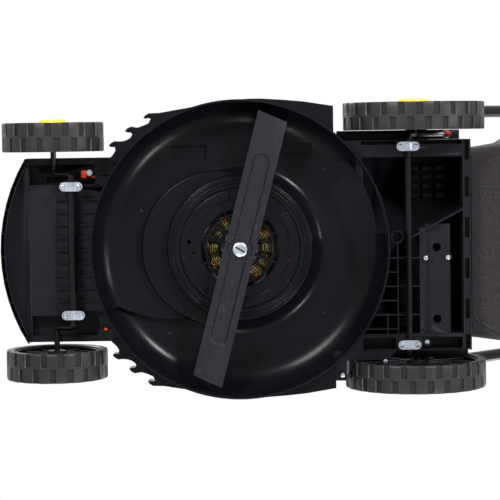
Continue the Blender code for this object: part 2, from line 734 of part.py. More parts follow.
def build_wheel(end, side, tyre, spot, carrier):
    """One wheel: tread ring, wheel body with its web and hub, and the yellow cap."""
    name = f"{end}_{side}"
    outward = 1 if side == "left" else -1
    matrix = along_x(outward * tyre["inner_x"], spot[0], spot[1], outward)
    width = tyre["width"]
    seat = tyre["radius"] - 0.014 - GAP
    barrel = seat - 0.004
    web_low, web_high = width - 0.022, width - 0.018
    empty = joint_point(name + "_wheel_axis", (outward * tyre["inner_x"], *spot), carrier)
    finish(place(tyre_solid(tyre), matrix), name + "_tyre", "tyre_plastic", empty)
    body = turned("wheel", [(HUB_BORE, 0.002), (HUB_RADIUS, 0.002), (HUB_RADIUS, web_low), (barrel, web_low),
                            (barrel, 0.003), (seat, 0.003), (seat, width - 0.003), (barrel, width - 0.003),
                            (barrel - 0.004, web_high), (HUB_BORE, web_high)], 24)
    finish(place(body, matrix), name + "_wheel", "grained_plastic", empty)
    cap_radius = tyre["cap"]
    cap = turned("cap", [(0, width + CAP_PROUD), (cap_radius - 0.003, width + CAP_PROUD),
                         (cap_radius, width + CAP_PROUD - 0.003), (cap_radius, web_high + GAP),
                         (0, web_high + GAP)], 16, closed=False)
    finish(place(cap, matrix), name + "_hub_cap", "yellow_plastic", empty)


def axle_path(shaft, wheel, crank_x, tyre):
    """The centre line of a cranked axle from the right wheel to the left one."""
    end = tyre["inner_x"] + tyre["width"] - 0.018 - 0.0015
    half = [(end, *wheel), (crank_x, *wheel), (crank_x, *shaft)]
    other = [(-x, y, z) for x, y, z in half]
    return rounded_path(other + half[::-1], BEND, 3)


def clamp_plate(name, x, shaft):
    """A zinc strap under an axle, with round ends and two screw holes."""
    low = shaft[1] - ROD_RADIUS - GAP - CLAMP_THICKNESS
    reach = (CLAMP_LENGTH - CLAMP_WIDTH) / 2
    outline = capsule((x, shaft[0] - reach), (x, shaft[0] + reach), CLAMP_WIDTH / 2, CLAMP_WIDTH / 2, 9)
    holes = [circle(0.0022, (x, shaft[0] + side * CLAMP_SCREW_PITCH / 2), 10) for side in (-1, 1)]
    finish(plate(name, [outline, *holes], low, low + CLAMP_THICKNESS), name, "zinc")


def build_running_gear():
    """Both cranked axles with their levers, clamps and wheels."""
    front = joint_point("front_axle_axis", (0, *FRONT_SHAFT))
    rear = joint_point("rear_axle_axis", (0, *REAR_SHAFT))
    finish(tube("rod", axle_path(FRONT_SHAFT, FRONT_WHEEL, FRONT_CRANK_X, FRONT_TYRE), ROD_RADIUS, 3),
           "front_axle_rod", "painted_steel", front)
    finish(tube("rod", axle_path(REAR_SHAFT, REAR_WHEEL, REAR_CRANK_X, REAR_TYRE), ROD_RADIUS, 3),
           "rear_axle_rod", "painted_steel", rear)
    for side, sign in (("left", 1), ("right", -1)):
        clamp_plate(f"front_{side}_axle_clamp", sign * FRONT_CLAMP_X, FRONT_SHAFT)
        clamp_plate(f"rear_{side}_axle_clamp", sign * REAR_CLAMP_X, REAR_SHAFT)
        build_wheel("front", side, FRONT_TYRE, FRONT_WHEEL, front)
        build_wheel("rear", side, REAR_TYRE, REAR_WHEEL, rear)
    lean = Vector((math.sin(FRONT_LEVER_LEAN), math.cos(FRONT_LEVER_LEAN)))
    foot = Vector(FRONT_SHAFT)
    tip = foot + lean * FRONT_LEVER_LENGTH
    lever = side_plate("lever", [capsule(foot, tip, 0.011, 0.006), circle(ROD_RADIUS + 2 * GAP, foot, 16)],
                       FRONT_LEVER_X, FRONT_LEVER_X + FRONT_LEVER_THICKNESS)
    finish(lever, "front_height_lever", "painted_steel", front)
    grip_foot = tip + lean * (0.006 + 0.010 + GAP)
    grip = side_plate("grip", [capsule(grip_foot, grip_foot + lean * 0.028, 0.010, 0.013)],
                      FRONT_LEVER_X - 0.006, FRONT_LEVER_X + FRONT_LEVER_THICKNESS + 0.006)
    finish(grip, "front_lever_grip", "red_plastic", front)
    slope = Vector((0, math.cos(REAR_LEVER_SLOPE), math.sin(REAR_LEVER_SLOPE)))
    start = Vector((REAR_CRANK_X, *REAR_WHEEL)) + slope * (ROD_RADIUS + GAP - 0.0013)
    end = start + slope * REAR_LEVER_LENGTH
    finish(tube("lever", [start, start.lerp(end, 0.5), end], REAR_LEVER_RADIUS), "rear_height_lever", "zinc", rear)
    knob = turned("knob", [(0, 0.024), (0.0055, 0.022), (0.0075, 0.014), (0.0065, 0.004), (0.0045, 0), (0, 0)],
                  16, closed=False)
    turn = slope.to_track_quat("Z", "Y").to_matrix().to_4x4()
    finish(place(knob, Matrix.Translation(end + slope * GAP) @ turn), "rear_lever_knob", "red_plastic", rear)


def frame_solid():
    """The rear frame before its ribs: side bars, rail and the sloping duct to the bag's mouth."""
    low, high, half = FRAME_LOW, FRAME_HIGH, FRAME_HALF_WIDTH
    over_bowl = BOWL_TOP + GAP
    slab = plate("slab", [[(-half, FRAME_FRONT), (half, FRAME_FRONT), (half, FRAME_REAR), (-half, FRAME_REAR)]],
                 low, high)
    slab = cut(slab, cylinder("bowl", BOWL_RADIUS + GAP, (0, 0, 0), (0, 0, over_bowl), BOWL_STEPS))
    duct = side_plate("duct", [[(0.190, over_bowl), (0.205, 0.150), (0.300, 0.250), (FRAME_REAR, 0.262),
                                (FRAME_REAR, over_bowl)]], -DUCT_HALF_WIDTH, DUCT_HALF_WIDTH)
    frame = join(slab, duct)
    frame = cut(frame, cylinder("hood", HOOD_RADIUS + 0.002, (0, 0, over_bowl - 0.01), (0, 0, 0.3), 48))
    wall = DUCT_WALL
    inner = DUCT_HALF_WIDTH - wall
    hollow = side_plate("hollow", [[(0.150, 0.05), (0.150, 0.1217), (0.213, 0.1217), (0.213, 0.1525),
                                    (0.302, 0.2458), (FRAME_REAR + 0.01, 0.2584), (FRAME_REAR + 0.01, high),
                                    (RAIL_FRONT, high), (RAIL_FRONT, 0.05)]], -inner, inner)
    hollow = cut(hollow, cylinder("arc", BOWL_RADIUS + GAP + WALL, (0, 0, 0.01), (0, 0, 0.1217), BOWL_STEPS))
    return cut(frame, hollow)


def frame_ribs():
    """The lattice, strip, drilled panel, diagonal wall and screw boss inside the frame."""
    inner = DUCT_HALF_WIDTH - DUCT_WALL + 0.001
    low, rib_high = FRAME_LOW, 0.1215
    lattice = box("lattice", (-inner, LATTICE_Y, low), (0.012, LATTICE_Y + RIB, rib_high))
    for k in range(LATTICE_COUNT):
        x = -0.021 - k * LATTICE_PITCH
        rear = STRIP[0] + 0.001 if k % 2 == 0 else LATTICE_Y + RIB / 2
        lattice = join(lattice, box("rib", (x - RIB / 2, 0.190, low + 0.0004), (x + RIB / 2, rear, rib_high - 0.0004)))
    lattice = join(lattice, box("cross", (-inner + 0.0003, 0.2495, low + 0.0008), (-0.118, 0.2495 + RIB, rib_high - 0.0008)),
                   box("strip", (-inner + 0.0006, STRIP[0], low + 0.0012), (0.030, STRIP[1], 0.104)))
    panel = box("panel", (-inner + 0.0009, STRIP[1] - 0.001, 0.0985), (0.036, PANEL_REAR, 0.1025))
    panel = cut(panel, *[cylinder("hole", 0.0073, (x, 0.336, 0), (x, 0.336, 0.2), 20) for x in (-0.004, -0.127)])
    lattice = join(lattice, panel, cylinder("boss", 0.012, (0.015, 0.268, low + 0.0002), (0.015, 0.268, 0.1205), 6))
    start, end = Vector((0.014, 0.292)), Vector((0.062, RAIL_FRONT + 0.002))
    heading = math.atan2(end.y - start.y, end.x - start.x)
    wall = box("wall", (0, -0.0015, low), ((end - start).length, 0.0015, 0.262))
    wall = place(wall, Matrix.Translation((start.x, start.y, 0)) @ Matrix.Rotation(heading, 4, "Z"))
    wall = cut(wall, side_plate("roof", [[(0.280, 0.2265), (0.302, 0.2480), (0.394, 0.2600), (0.394, 0.3), (0.280, 0.3)]],
                                -0.1, 0.1))
    bowl = cylinder("bowl", BOWL_RADIUS + GAP + WALL / 2, (0, 0, 0), (0, 0, 0.2), BOWL_STEPS)
    return [cut(lattice, bowl), wall]


def build_rear():
    """The rear frame, handle brackets, flap and its pin."""
    frame = join(frame_solid(), *frame_ribs())
    for side in (1, -1):
        frame = join(frame, clamp_boss_tool(side * REAR_CLAMP_X, REAR_SHAFT, FRAME_LOW + 0.002))
    frame = cut(frame, box("outlet", (TUNNEL[0], 0.150, 0.05), (TUNNEL[1], 0.262, TUNNEL_HIGH)))
    slots = [((x - RAIL_SLOT / 2, RAIL_FRONT + 0.0035, 0.08), (x + RAIL_SLOT / 2, FRAME_REAR - 0.0035, 0.1005))
             for x in RAIL_SLOT_XS]
    frame = cut(frame, boxes("slots", slots),
                cylinder("boss_hollow", 0.0097, (0.015, 0.268, 0.05), (0.015, 0.268, 0.1165), 6))
    pin_y, pin_z = FLAP_PIN
    for side in (1, -1):
        xs = sorted((side * (FLAP_HALF_WIDTH + 2 * GAP), side * (FLAP_HALF_WIDTH + 0.008)))
        ear = side_plate("ear", [[(pin_y - 0.0075, 0.250), (pin_y + 0.0065, 0.250), (pin_y + 0.0065, pin_z + 0.003),
                                  (pin_y + 0.003, pin_z + 0.0065), (pin_y - 0.003, pin_z + 0.0065),
                                  (pin_y - 0.0075, pin_z + 0.003)]], *xs)
        frame = join(frame, ear)
    bore = cylinder("bore", FLAP_PIN_RADIUS + 2 * GAP, (-0.2, pin_y, pin_z), (0.2, pin_y, pin_z), 16)
    frame = cut(frame, bore)
    finish(frame, "rear_frame", "grained_plastic")
    reach = FLAP_HALF_WIDTH + 0.0085
    finish(cylinder("pin", FLAP_PIN_RADIUS, (-reach, pin_y, pin_z), (reach, pin_y, pin_z), 16), "flap_pin", "zinc")
    empty = joint_point("flap_axis", (0, pin_y, pin_z))
    barrel = FLAP_PIN_RADIUS + 0.0035
    half = FLAP_HALF_WIDTH
    slope = Vector((math.cos(FLAP_SLOPE), math.sin(FLAP_SLOPE)))
    normal = Vector((-slope.y, slope.x))
    foot = Vector(FLAP_PIN) + normal * (barrel - FLAP_THICKNESS)
    tip = foot + slope * FLAP_LENGTH
    flap = side_plate("flap", [[foot, tip, tip + normal * FLAP_THICKNESS, foot + normal * FLAP_THICKNESS]],
                      -half + 0.0002, half - 0.0002)
    flap = join(flap, cylinder("barrel", barrel, (-half, pin_y, pin_z), (half, pin_y, pin_z), 20))
    flap = cut(flap, cylinder("bore", FLAP_PIN_RADIUS + 2 * GAP, (-0.2, pin_y, pin_z), (0.2, pin_y, pin_z), 16))
    finish(flap, "rear_flap", "grained_plastic", empty)
    pivot_y, pivot_z = HANDLE_PIVOT
    inner_face = LOWER_HANDLE_X - TUBE_RADIUS - GAP
    for side, sign in (("left", 1), ("right", -1)):
        outline = [(DUCT_HALF_WIDTH + GAP, 0.226), (0.184, 0.226), (0.191, 0.2505), (inner_face, 0.2505),
                   (inner_face, pivot_z + 0.017), (0.186, pivot_z + 0.017), (DUCT_HALF_WIDTH + GAP, 0.262)]
        if sign < 0:
            outline = mirrored(outline)
        bracket = front_plate("bracket", [outline], pivot_y - 0.019, pivot_y + 0.017)
        bracket = cut(bracket, cylinder("bore", PIN_RADIUS + PIN_CLEARANCE, (sign * 0.200, pivot_y, pivot_z),
                                        (sign * 0.3, pivot_y, pivot_z), 16))
        finish(bracket, f"{side}_handle_bracket", "grained_plastic")
        bolt = turned("bolt", [(0, 0.2012), (PIN_RADIUS, 0.2012), (PIN_RADIUS, LOWER_HANDLE_X + TUBE_RADIUS + GAP),
                               (0.012, LOWER_HANDLE_X + TUBE_RADIUS + GAP), (0.012, 0.2475), (0.009, 0.2505),
                               (0, 0.2505)], 16, closed=False)
        finish(place(bolt, along_x(0, pivot_y, pivot_z, sign)), f"{side}_pivot_bolt", "zinc")


def rise(distance, sideways=0.0, origin=HANDLE_PIVOT, angle=HANDLE_ANGLE):
    """A point in Y and Z at a distance up the handle, and to the side square to it."""
    along = Vector((math.cos(angle), math.sin(angle)))
    return Vector(origin) + along * distance + Vector((-along.y, along.x)) * sideways


def build_handle():
    """The folding handle: lower tubes, clamp bolts and knobs, upper loop with grip, bail, switch box and button."""
    lower = joint_point("lower_handle_axis", (0, *HANDLE_PIVOT))
    elbow = tuple(rise(LOWER_LENGTH))
    upper = joint_point("upper_handle_axis", (0, *elbow), lower)
    upper_x = LOWER_HANDLE_X - 2 * TUBE_RADIUS - GAP
    for side, sign in (("left", 1), ("right", -1)):
        x = sign * LOWER_HANDLE_X
        stem = tube("stem", [(x, *rise(-0.016)), (x, *rise(LOWER_LENGTH / 2)), (x, *rise(LOWER_LENGTH + TUBE_END))],
                    TUBE_RADIUS, 4)
        for spot in (HANDLE_PIVOT, elbow):
            stem = cut(stem, cylinder("hole", PIN_RADIUS + PIN_CLEARANCE, (x - 0.03, *spot), (x + 0.03, *spot), 16))
        finish(stem, f"lower_handle_{side}", "painted_steel", lower)
        head = upper_x - TUBE_RADIUS - GAP
        face = LOWER_HANDLE_X + TUBE_RADIUS + GAP
        bolt = turned("bolt", [(0, head - 0.006), (0.008, head - 0.006), (0.008, head), (PIN_RADIUS, head),
                               (PIN_RADIUS, face + 0.008), (0, face + 0.008)], 16, closed=False)
        finish(place(bolt, along_x(0, *elbow, sign)), f"{side}_clamp_bolt", "zinc", lower)
        knob_axis = joint_point(f"{side}_knob_axis", (sign * face, *elbow), lower)
        bore = PIN_RADIUS + PIN_CLEARANCE
        knob = turned("knob", [(bore, face), (KNOB_RADIUS - 0.002, face), (KNOB_RADIUS, face + 0.003),
                               (KNOB_RADIUS - 0.001, face + 0.010), (0.010, face + 0.0122), (0, face + 0.0122),
                               (0, face + 0.0085), (bore, face + 0.0085)], 18)
        knob = cut(knob, *[cylinder("flute", 0.0035, (0.0175 * math.cos(a), 0.0175 * math.sin(a), face - 0.01),
                                    (0.0175 * math.cos(a), 0.0175 * math.sin(a), face + 0.02), 8)
                           for a in [2 * math.pi * k / 6 for k in range(6)]])
        finish(place(knob, along_x(0, *elbow, sign)), f"{side}_handle_knob", "yellow_plastic", knob_axis)
    top = UPPER_LENGTH
    half = [(upper_x, *rise(-TUBE_END, 0, elbow)), (upper_x, *rise(0.1, 0, elbow)), (upper_x, *rise(0.36, 0, elbow)),
            (upper_x, *rise(top, 0, elbow))]
    other = [(-x, y, z) for x, y, z in half]
    loop = tube("loop", rounded_path(half + other[::-1], HANDLE_BEND, 5), TUBE_RADIUS, 4)
    for sign in (1, -1):
        loop = cut(loop, cylinder("hole", PIN_RADIUS + PIN_CLEARANCE, (sign * (upper_x - 0.03), *elbow),
                                  (sign * (upper_x + 0.03), *elbow), 16))
    finish(loop, "upper_handle", "painted_steel", upper)
    bar = rise(top, 0, elbow)
    grip = turned("grip", [(TUBE_RADIUS + 2 * GAP, -GRIP_HALF_LENGTH), (GRIP_RADIUS, -GRIP_HALF_LENGTH),
                           (GRIP_RADIUS, GRIP_HALF_LENGTH), (TUBE_RADIUS + 2 * GAP, GRIP_HALF_LENGTH)], 20)
    finish(place(grip, along_x(0, *bar, 1)), "handle_grip", "grained_plastic", upper)
    build_controls(upper, upper_x, elbow)


def build_controls(upper, upper_x, elbow):
    """The bail that starts the motor, and the switch box with its safety button and socket."""
    pivot = rise(BAIL_START, 0, elbow)
    bail_axis = joint_point("bail_axis", (0, *pivot), upper)
    end_x = upper_x - TUBE_RADIUS - GAP
    side_x = end_x - 0.013
    tip = rise(BAIL_LENGTH, 0, tuple(pivot), HANDLE_ANGLE - BAIL_OPEN)
    half = [(end_x, *pivot), (side_x, *pivot), (side_x, *tip)]
    other = [(-x, y, z) for x, y, z in half]
    bail = tube("bail", rounded_path(half + other[::-1], 0.010, 3), BAIL_RADIUS, 2)
    finish(bail, "motor_bail", "yellow_plastic", bail_axis)
    near, far = SWITCH_BOX
    wide, tall = SWITCH_BOX_WIDTH / 2, SWITCH_BOX_HEIGHT / 2
    shape = [(-wide, near), (wide - 0.012, near), (wide, near + 0.014), (wide, far - 0.014),
             (wide - 0.012, far), (-wide, far)]
    case = plate("case", [shape], -tall, tall)
    bevel = case.modifiers.new("edge", "BEVEL")
    bevel.width = 0.004
    bevel.segments = 2
    bevel.limit_method = "ANGLE"
    case = settle(case)
    case = cut(case, cylinder("channel", TUBE_RADIUS + GAP * 2, (0.008, near - 0.02, 0), (0.008, far + 0.02, 0), 20))
    middle = (near + far) / 2
    case = cut(case, cylinder("well", BUTTON_RADIUS + 2 * GAP, (-0.016, middle, tall - 0.012),
                              (-0.016, middle, tall + 0.02), 20))
    case = cut(case, box("socket", (-0.031, near - 0.01, -0.018), (-0.011, near + 0.016, 0.006)))
    button = cylinder("button", BUTTON_RADIUS, (-0.016, middle, tall - 0.005), (-0.016, middle, tall + BUTTON_PROUD), 20)
    shift = Matrix.Translation((-upper_x, *elbow)) @ Matrix.Rotation(HANDLE_ANGLE, 4, "X") @ Matrix.Scale(-1, 4, (1, 0, 0))
    shift = shift @ Matrix.Translation((-0.008, 0, 0))
    case = place(case, shift)
    button = place(button, shift)
    tidy_mesh(case.data)
    tidy_mesh(button.data)
    finish(case, "switch_box", "grained_plastic", upper)
    centre = shift @ Vector((-0.016, middle, tall))
    finish(button, "safety_button", "yellow_plastic", joint_point("button_axis", centre, upper))


def bag_section(y, half, low, high, crown=0.0, inset=0.0, count=7):
    """One ring of the bag: a rounded rectangle that may crown on top."""
    ring = []
    corner = min(0.030, (high - low) / 3)
    half, low, high = half - inset, low + inset, high - inset
    for cx, cz, base in ((half - corner, high - corner, 0), (-half + corner, high - corner, 90),
                         (-half + corner, low + corner, 180), (half - corner, low + corner, 270)):
        for k in range(3):
            angle = math.radians(base + 45 * k)
            x = cx + corner * math.cos(angle)
            z = cz + corner * math.sin(angle)
            ring.append((x, y, z))
        if base == 0:
            for step in range(1, count):
                share = step / count
                x = cx - 2 * cx * share
                ring.append((x, y, high + crown * math.sin(math.pi * share)))
    return ring


def build_bag():
    """The grass bag: mouth frame, cloth body that is open at the mouth, and the hard lid."""
    bag = joint_point("bag_slide", (0, FRAME_REAR, BAG_FRAME_LOW))
    front = FRAME_REAR + GAP
    half, low, high, band = BAG_FRAME_HALF_WIDTH, BAG_FRAME_LOW, BAG_FRAME_HIGH, BAG_FRAME_BAND
    outer = [(-half, low), (half, low), (half, high), (-half, high)]
    inner = [(-half + band, low + band), (half - band, low + band), (half - band, high - band), (-half + band, high - band)]
    mouth = front_plate("mouth", [outer, inner], front, front + BAG_FRAME_THICKNESS)
    finish(mouth, "bag_mouth_frame", "grained_plastic", bag)
    start = front + BAG_FRAME_THICKNESS + GAP
    sizes = [(start, 0.164, 0.118, 0.246), (0.455, 0.174, 0.112, 0.286), (0.505, 0.204, 0.108, 0.330),
             (0.620, 0.209, 0.106, 0.378), (0.760, 0.207, 0.110, 0.396), (0.830, 0.196, 0.126, 0.388),
             (0.862, 0.160, 0.160, 0.352)]
    outside = [bag_section(*size, crown=0.004) for size in sizes]
    inside = [bag_section(*size, crown=0.004, inset=CLOTH) for size in sizes[:-1]]
    inside.append(bag_section(sizes[-1][0] - CLOTH, *sizes[-1][1:], crown=0.004, inset=CLOTH))
    bm = bmesh.new()
    rings = [[bm.verts.new(p) for p in ring] for ring in list(reversed(inside)) + outside]
    count = len(rings[0])
    for now, after in zip(rings, rings[1:]):
        for k in range(count):
            bm.faces.new((now[k], now[(k + 1) % count], after[(k + 1) % count], after[k]))
    bm.faces.new(rings[0])
    bm.faces.new(rings[-1])
    mesh = bpy.data.meshes.new("cloth")
    bm.to_mesh(mesh)
    bm.free()
    finish(mesh_object("cloth", tidy_mesh(mesh)), "bag_cloth", "bag_fabric", bag)
    lid = [bag_lid_section(*size) for size in sizes[1:]]
    finish(loft("lid", lid), "bag_lid", "grained_plastic", bag)


def bag_lid_section(y, half, low, high, thickness=0.004):
    """A ring of the lid, which follows the bag's crowned top."""
    inner = half - 0.034
    lower = [(inner * (1 - 2 * k / 6), y, high + 2 * GAP + 0.004 * math.sin(math.pi * k / 6)) for k in range(7)]
    upper = [(x * 1.02, y, z + thickness) for x, y, z in reversed(lower)]
    return lower + upper


build_deck()
build_nose()
build_hood()
build_motor()
build_blade()
build_running_gear()
build_rear()
build_handle()
build_bag()

FRONT = NOSE_FRONT
REAR = rise(UPPER_LENGTH, 0, tuple(rise(LOWER_LENGTH)))[0] + GRIP_RADIUS
ROOT.location = (0, -(FRONT + REAR) / 2, 0)
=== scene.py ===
"""A rotary lawn mower seen from below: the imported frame, dressed with detailed pieces and finishes, in a studio."""

import json
import logging
from dataclasses import dataclass
from enum import Enum
from functools import cache
from math import asin, atan2, copysign, cos, degrees, hypot, pi, radians, sin, tan
from typing import Sequence

import bmesh
import bpy
from mathutils import Matrix, Vector


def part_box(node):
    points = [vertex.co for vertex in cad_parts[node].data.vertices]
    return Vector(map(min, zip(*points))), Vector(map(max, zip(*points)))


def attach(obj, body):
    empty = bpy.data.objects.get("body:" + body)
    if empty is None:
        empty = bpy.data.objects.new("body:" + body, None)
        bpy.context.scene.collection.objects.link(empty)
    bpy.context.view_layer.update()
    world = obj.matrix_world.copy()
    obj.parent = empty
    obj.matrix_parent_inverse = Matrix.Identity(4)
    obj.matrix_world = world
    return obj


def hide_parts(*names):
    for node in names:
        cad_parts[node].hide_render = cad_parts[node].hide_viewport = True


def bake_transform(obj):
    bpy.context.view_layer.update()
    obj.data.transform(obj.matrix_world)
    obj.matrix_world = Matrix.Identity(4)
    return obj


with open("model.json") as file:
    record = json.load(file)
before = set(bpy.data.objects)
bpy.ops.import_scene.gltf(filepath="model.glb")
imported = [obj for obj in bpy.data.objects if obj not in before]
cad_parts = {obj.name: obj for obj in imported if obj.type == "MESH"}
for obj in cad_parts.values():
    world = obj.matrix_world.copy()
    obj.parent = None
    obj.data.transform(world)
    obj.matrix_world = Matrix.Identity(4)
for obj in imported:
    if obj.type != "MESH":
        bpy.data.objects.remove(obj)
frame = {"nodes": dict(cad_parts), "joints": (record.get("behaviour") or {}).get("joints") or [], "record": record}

LOG = logging.getLogger("mower")
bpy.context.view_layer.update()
AXIS_Y: float = next(joint["pos_m"][1] for joint in frame["joints"] if joint["name"] == "blade_spin")
BLADE_AT = (240.0, 249.35)  # the pixel of the photograph that shows the blade's middle
BLADE_HEIGHT = 0.048  # its height above the ground
PIXEL = 0.001677  # the size of a pixel there, in metres
BEVELLED_FROM = radians(28)  # the angle above which an edge is rounded
Point = Sequence[float]
Triple = tuple[float, float, float]
Span = tuple[float, float]
Outline = Sequence[Span]
Mesh = bpy.types.Mesh
Socket = bpy.types.NodeSocket


@dataclass(frozen=True)
class Signal:
    """A number that varies over a surface: one socket of a shader tree, with the usual operators."""

    tree: bpy.types.NodeTree
    socket: Socket

    def maths(self, operation: str, *others: "Signal | float", last: bool = False) -> "Signal":
        """Adds one Math node.

        Args:
            operation: The node's operation.
            others: The other values, where the operation has them.
            last: Whether this signal comes after them.

        Returns:
            The result as a new signal.
        """
        values = (*others, self) if last else (self, *others)
        node = Bench(self.tree).node("ShaderNodeMath", {"operation": operation}, dict(enumerate(values)))
        return Signal(self.tree, node.outputs[0])

    def __add__(self, other: "Signal | float") -> "Signal":
        """The sum."""
        return self.maths("ADD", other)

    def __sub__(self, other: "Signal | float") -> "Signal":
        """The difference."""
        return self.maths("SUBTRACT", other)

    def __rsub__(self, other: float) -> "Signal":
        """A number less this signal."""
        return self.maths("SUBTRACT", other, last=True)

    def __mul__(self, other: "Signal | float") -> "Signal":
        """The product."""
        return self.maths("MULTIPLY", other)

    __radd__, __rmul__ = __add__, __mul__

    def ramp(self, low: float, high: float) -> "Signal":
        """A smooth step from zero where this signal is low to one where it is high."""
        node = Bench(self.tree).node("ShaderNodeMapRange", {"interpolation_type": "SMOOTHSTEP"},
                                     {"Value": self, "From Min": low, "From Max": high})
        return Signal(self.tree, node.outputs["Result"])


class Bench:
    """A node tree under construction."""

    def __init__(self, tree: bpy.types.NodeTree) -> None:
        """Starts on a tree."""
        self.tree = tree

    def feed(self, slot: Socket, value: object) -> None:
        """Links or sets an input.

        Args:
            slot: The input.
            value: A signal, a socket or a plain value.
        """
        source = value.socket if isinstance(value, Signal) else value
        if isinstance(source, Socket):
            self.tree.links.new(source, slot)
        else:
            slot.default_value = source

    def node(self, kind: str, settings: dict | None = None, inputs: dict | None = None) -> bpy.types.Node:
        """Adds any node.

        Args:
            kind: The node's type.
            settings: Attributes that are set first.
            inputs: Values, signals or sockets for its inputs, by name or number.

        Returns:
            The new node.
        """
        node = self.tree.nodes.new(kind)
        for key, value in (settings or {}).items():
            setattr(node, key, value)
        for key, value in (inputs or {}).items():
            self.feed(node.inputs[key], value)
        return node

    def signal(self, kind: str, output: str | int, settings: dict | None = None, inputs: dict | None = None) -> Signal:
        """Adds any node and takes one of its outputs, by name or number, as a signal."""
        return Signal(self.tree, self.node(kind, settings, inputs).outputs[output])


class Surface(Bench):
    """One material under construction: a Principled shader and the nodes that feed it."""

    def __init__(self, name: str) -> None:
        """Starts an empty material of a name."""
        self.material = bpy.data.materials.new(name)
        self.material.use_nodes = True
        super().__init__(self.material.node_tree)
        self.shader = self.tree.nodes["Principled BSDF"]
        self.place = self.node("ShaderNodeTexCoord").outputs["Object"]

    def noise(self, scale: float, detail: float = 2.0, stretch: Point = (1, 1, 1)) -> Signal:
        """Even noise in object space: waves a metre, octaves, and how much denser it is along each axis."""
        mapped = self.node("ShaderNodeMapping", inputs={"Vector": self.place, "Scale": stretch}).outputs["Vector"]
        return self.signal("ShaderNodeTexNoise", "Fac", inputs={"Vector": mapped, "Scale": scale, "Detail": detail})

    def grain(self, scale: float) -> Signal:
        """The distance field of small cells, as many a metre as the scale says."""
        return self.signal("ShaderNodeTexVoronoi", "Distance", inputs={"Vector": self.place, "Scale": scale})

    def tint(self, low: Point | Socket, high: Point, share: Signal) -> Socket:
        """A colour between two others.

        Args:
            low: The colour at zero, or the socket that gives it.
            high: The colour at one.
            share: Where between them it is.

        Returns:
            The mixed colour's socket.
        """
        start = low if isinstance(low, Socket) else (*low, 1)
        node = self.node("ShaderNodeMix", {"data_type": "RGBA"}, {0: share, 6: start, 7: (*high, 1)})
        return node.outputs[2]

    def bump(self, height: Signal, distance: float) -> None:
        """Presses a height from zero to one into the shader's normal, over a distance in metres."""
        node = self.node("ShaderNodeBump", inputs={"Height": height, "Distance": distance, "Strength": 1.0})
        self.feed(self.shader.inputs["Normal"], node.outputs["Normal"])

    def set(self, **values: object) -> None:
        """Sets or links the shader's sockets, whose names are given with underscores for spaces."""
        for key, value in values.items():
            self.feed(self.shader.inputs[key.replace("_", " ")], value)


@dataclass(frozen=True)
class Look:
    """The recipe of one material, under its slot's name."""

    name: str

    def build(self) -> bpy.types.Material:
        """Makes the material.

        Returns:
            The finished material.
        """
        skin = Surface(self.name)
        self.dress(skin)
        return skin.material

    def dress(self, skin: Surface) -> None:
        """Sets the shader's sockets."""
        raise NotImplementedError


@dataclass(frozen=True)
class MouldedPlastic(Look):
    """Injection-moulded plastic with grain, cloudy gloss and fine dust."""

    colour: Triple
    roughness: float
    grain_scale: float
    grain_depth: float
    specular: float = 0.35
    dust: float = 0.25

    def dress(self, skin: Surface) -> None:
        """Sets the shader's sockets.

        Args:
            skin: The material.
        """
        cloud = skin.noise(9.0, 3.0)
        speck = skin.noise(420.0, 2.0).ramp(0.60, 0.80) * self.dust
        pale = tuple(min(1.0, c * 1.5 + 0.005) for c in self.colour)
        skin.set(Base_Color=skin.tint(self.colour, pale, cloud * 0.35 + speck),
                 Roughness=self.roughness + (cloud - 0.5) * 0.16 + speck * 0.3,
                 Specular_IOR_Level=self.specular)
        skin.bump(skin.grain(self.grain_scale) * 0.7 + skin.noise(self.grain_scale * 1.7) * 0.3, self.grain_depth)


@dataclass(frozen=True)
class TreadPlastic(MouldedPlastic):
    """Hard tread plastic with painted shade darkening its pockets and painted highlights on the pocket walls."""

    def dress(self, skin: Surface) -> None:
        """Sets the shader's sockets.

        Args:
            skin: The material.
        """
        deep = skin.signal("ShaderNodeAttribute", "Fac", {"attribute_name": "pocket"})
        # painted shade: the deeper part of each pocket is darkened to near black, and roughened too
        pocket_shade = deep.ramp(0.40, 0.85)
        cloud = skin.noise(26.0, 4.0)
        # painted highlight: the shallow walls of the pockets are lightened; the cloud term adds random tone to the
        # faces
        rim = deep.ramp(0.02, 0.25) * (1.0 - pocket_shade) + cloud.ramp(0.45, 0.75) * 0.12 * (1.0 - pocket_shade)
        face = skin.tint(self.colour, tuple(c * 4.5 for c in self.colour), rim)
        skin.set(Base_Color=skin.tint(face, (0.004, 0.004, 0.005), pocket_shade),
                 Roughness=self.roughness + (cloud - 0.5) * 0.20 + pocket_shade * 0.25, Specular_IOR_Level=self.specular)
        skin.bump(skin.grain(self.grain_scale) * 0.6 + cloud * 0.4, self.grain_depth)


@dataclass(frozen=True)
class PlatedSteel(Look):
    """Zinc-plated steel: bright, faintly blue, with fine brushing and dull patches."""

    colour: Triple
    roughness: float

    def dress(self, skin: Surface) -> None:
        """Sets the shader's sockets.

        Args:
            skin: The material.
        """
        patch = skin.noise(60.0, 4.0)
        brushed = skin.noise(900.0, 2.0, (0.12, 1.0, 1.0))
        dull = tuple(c * 0.78 for c in self.colour)
        skin.set(Base_Color=skin.tint(dull, self.colour, patch.ramp(0.30, 0.65)), Metallic=1.0,
                 Roughness=self.roughness + (patch - 0.5) * 0.25 + brushed * 0.10)
        skin.bump(brushed, 0.00004)


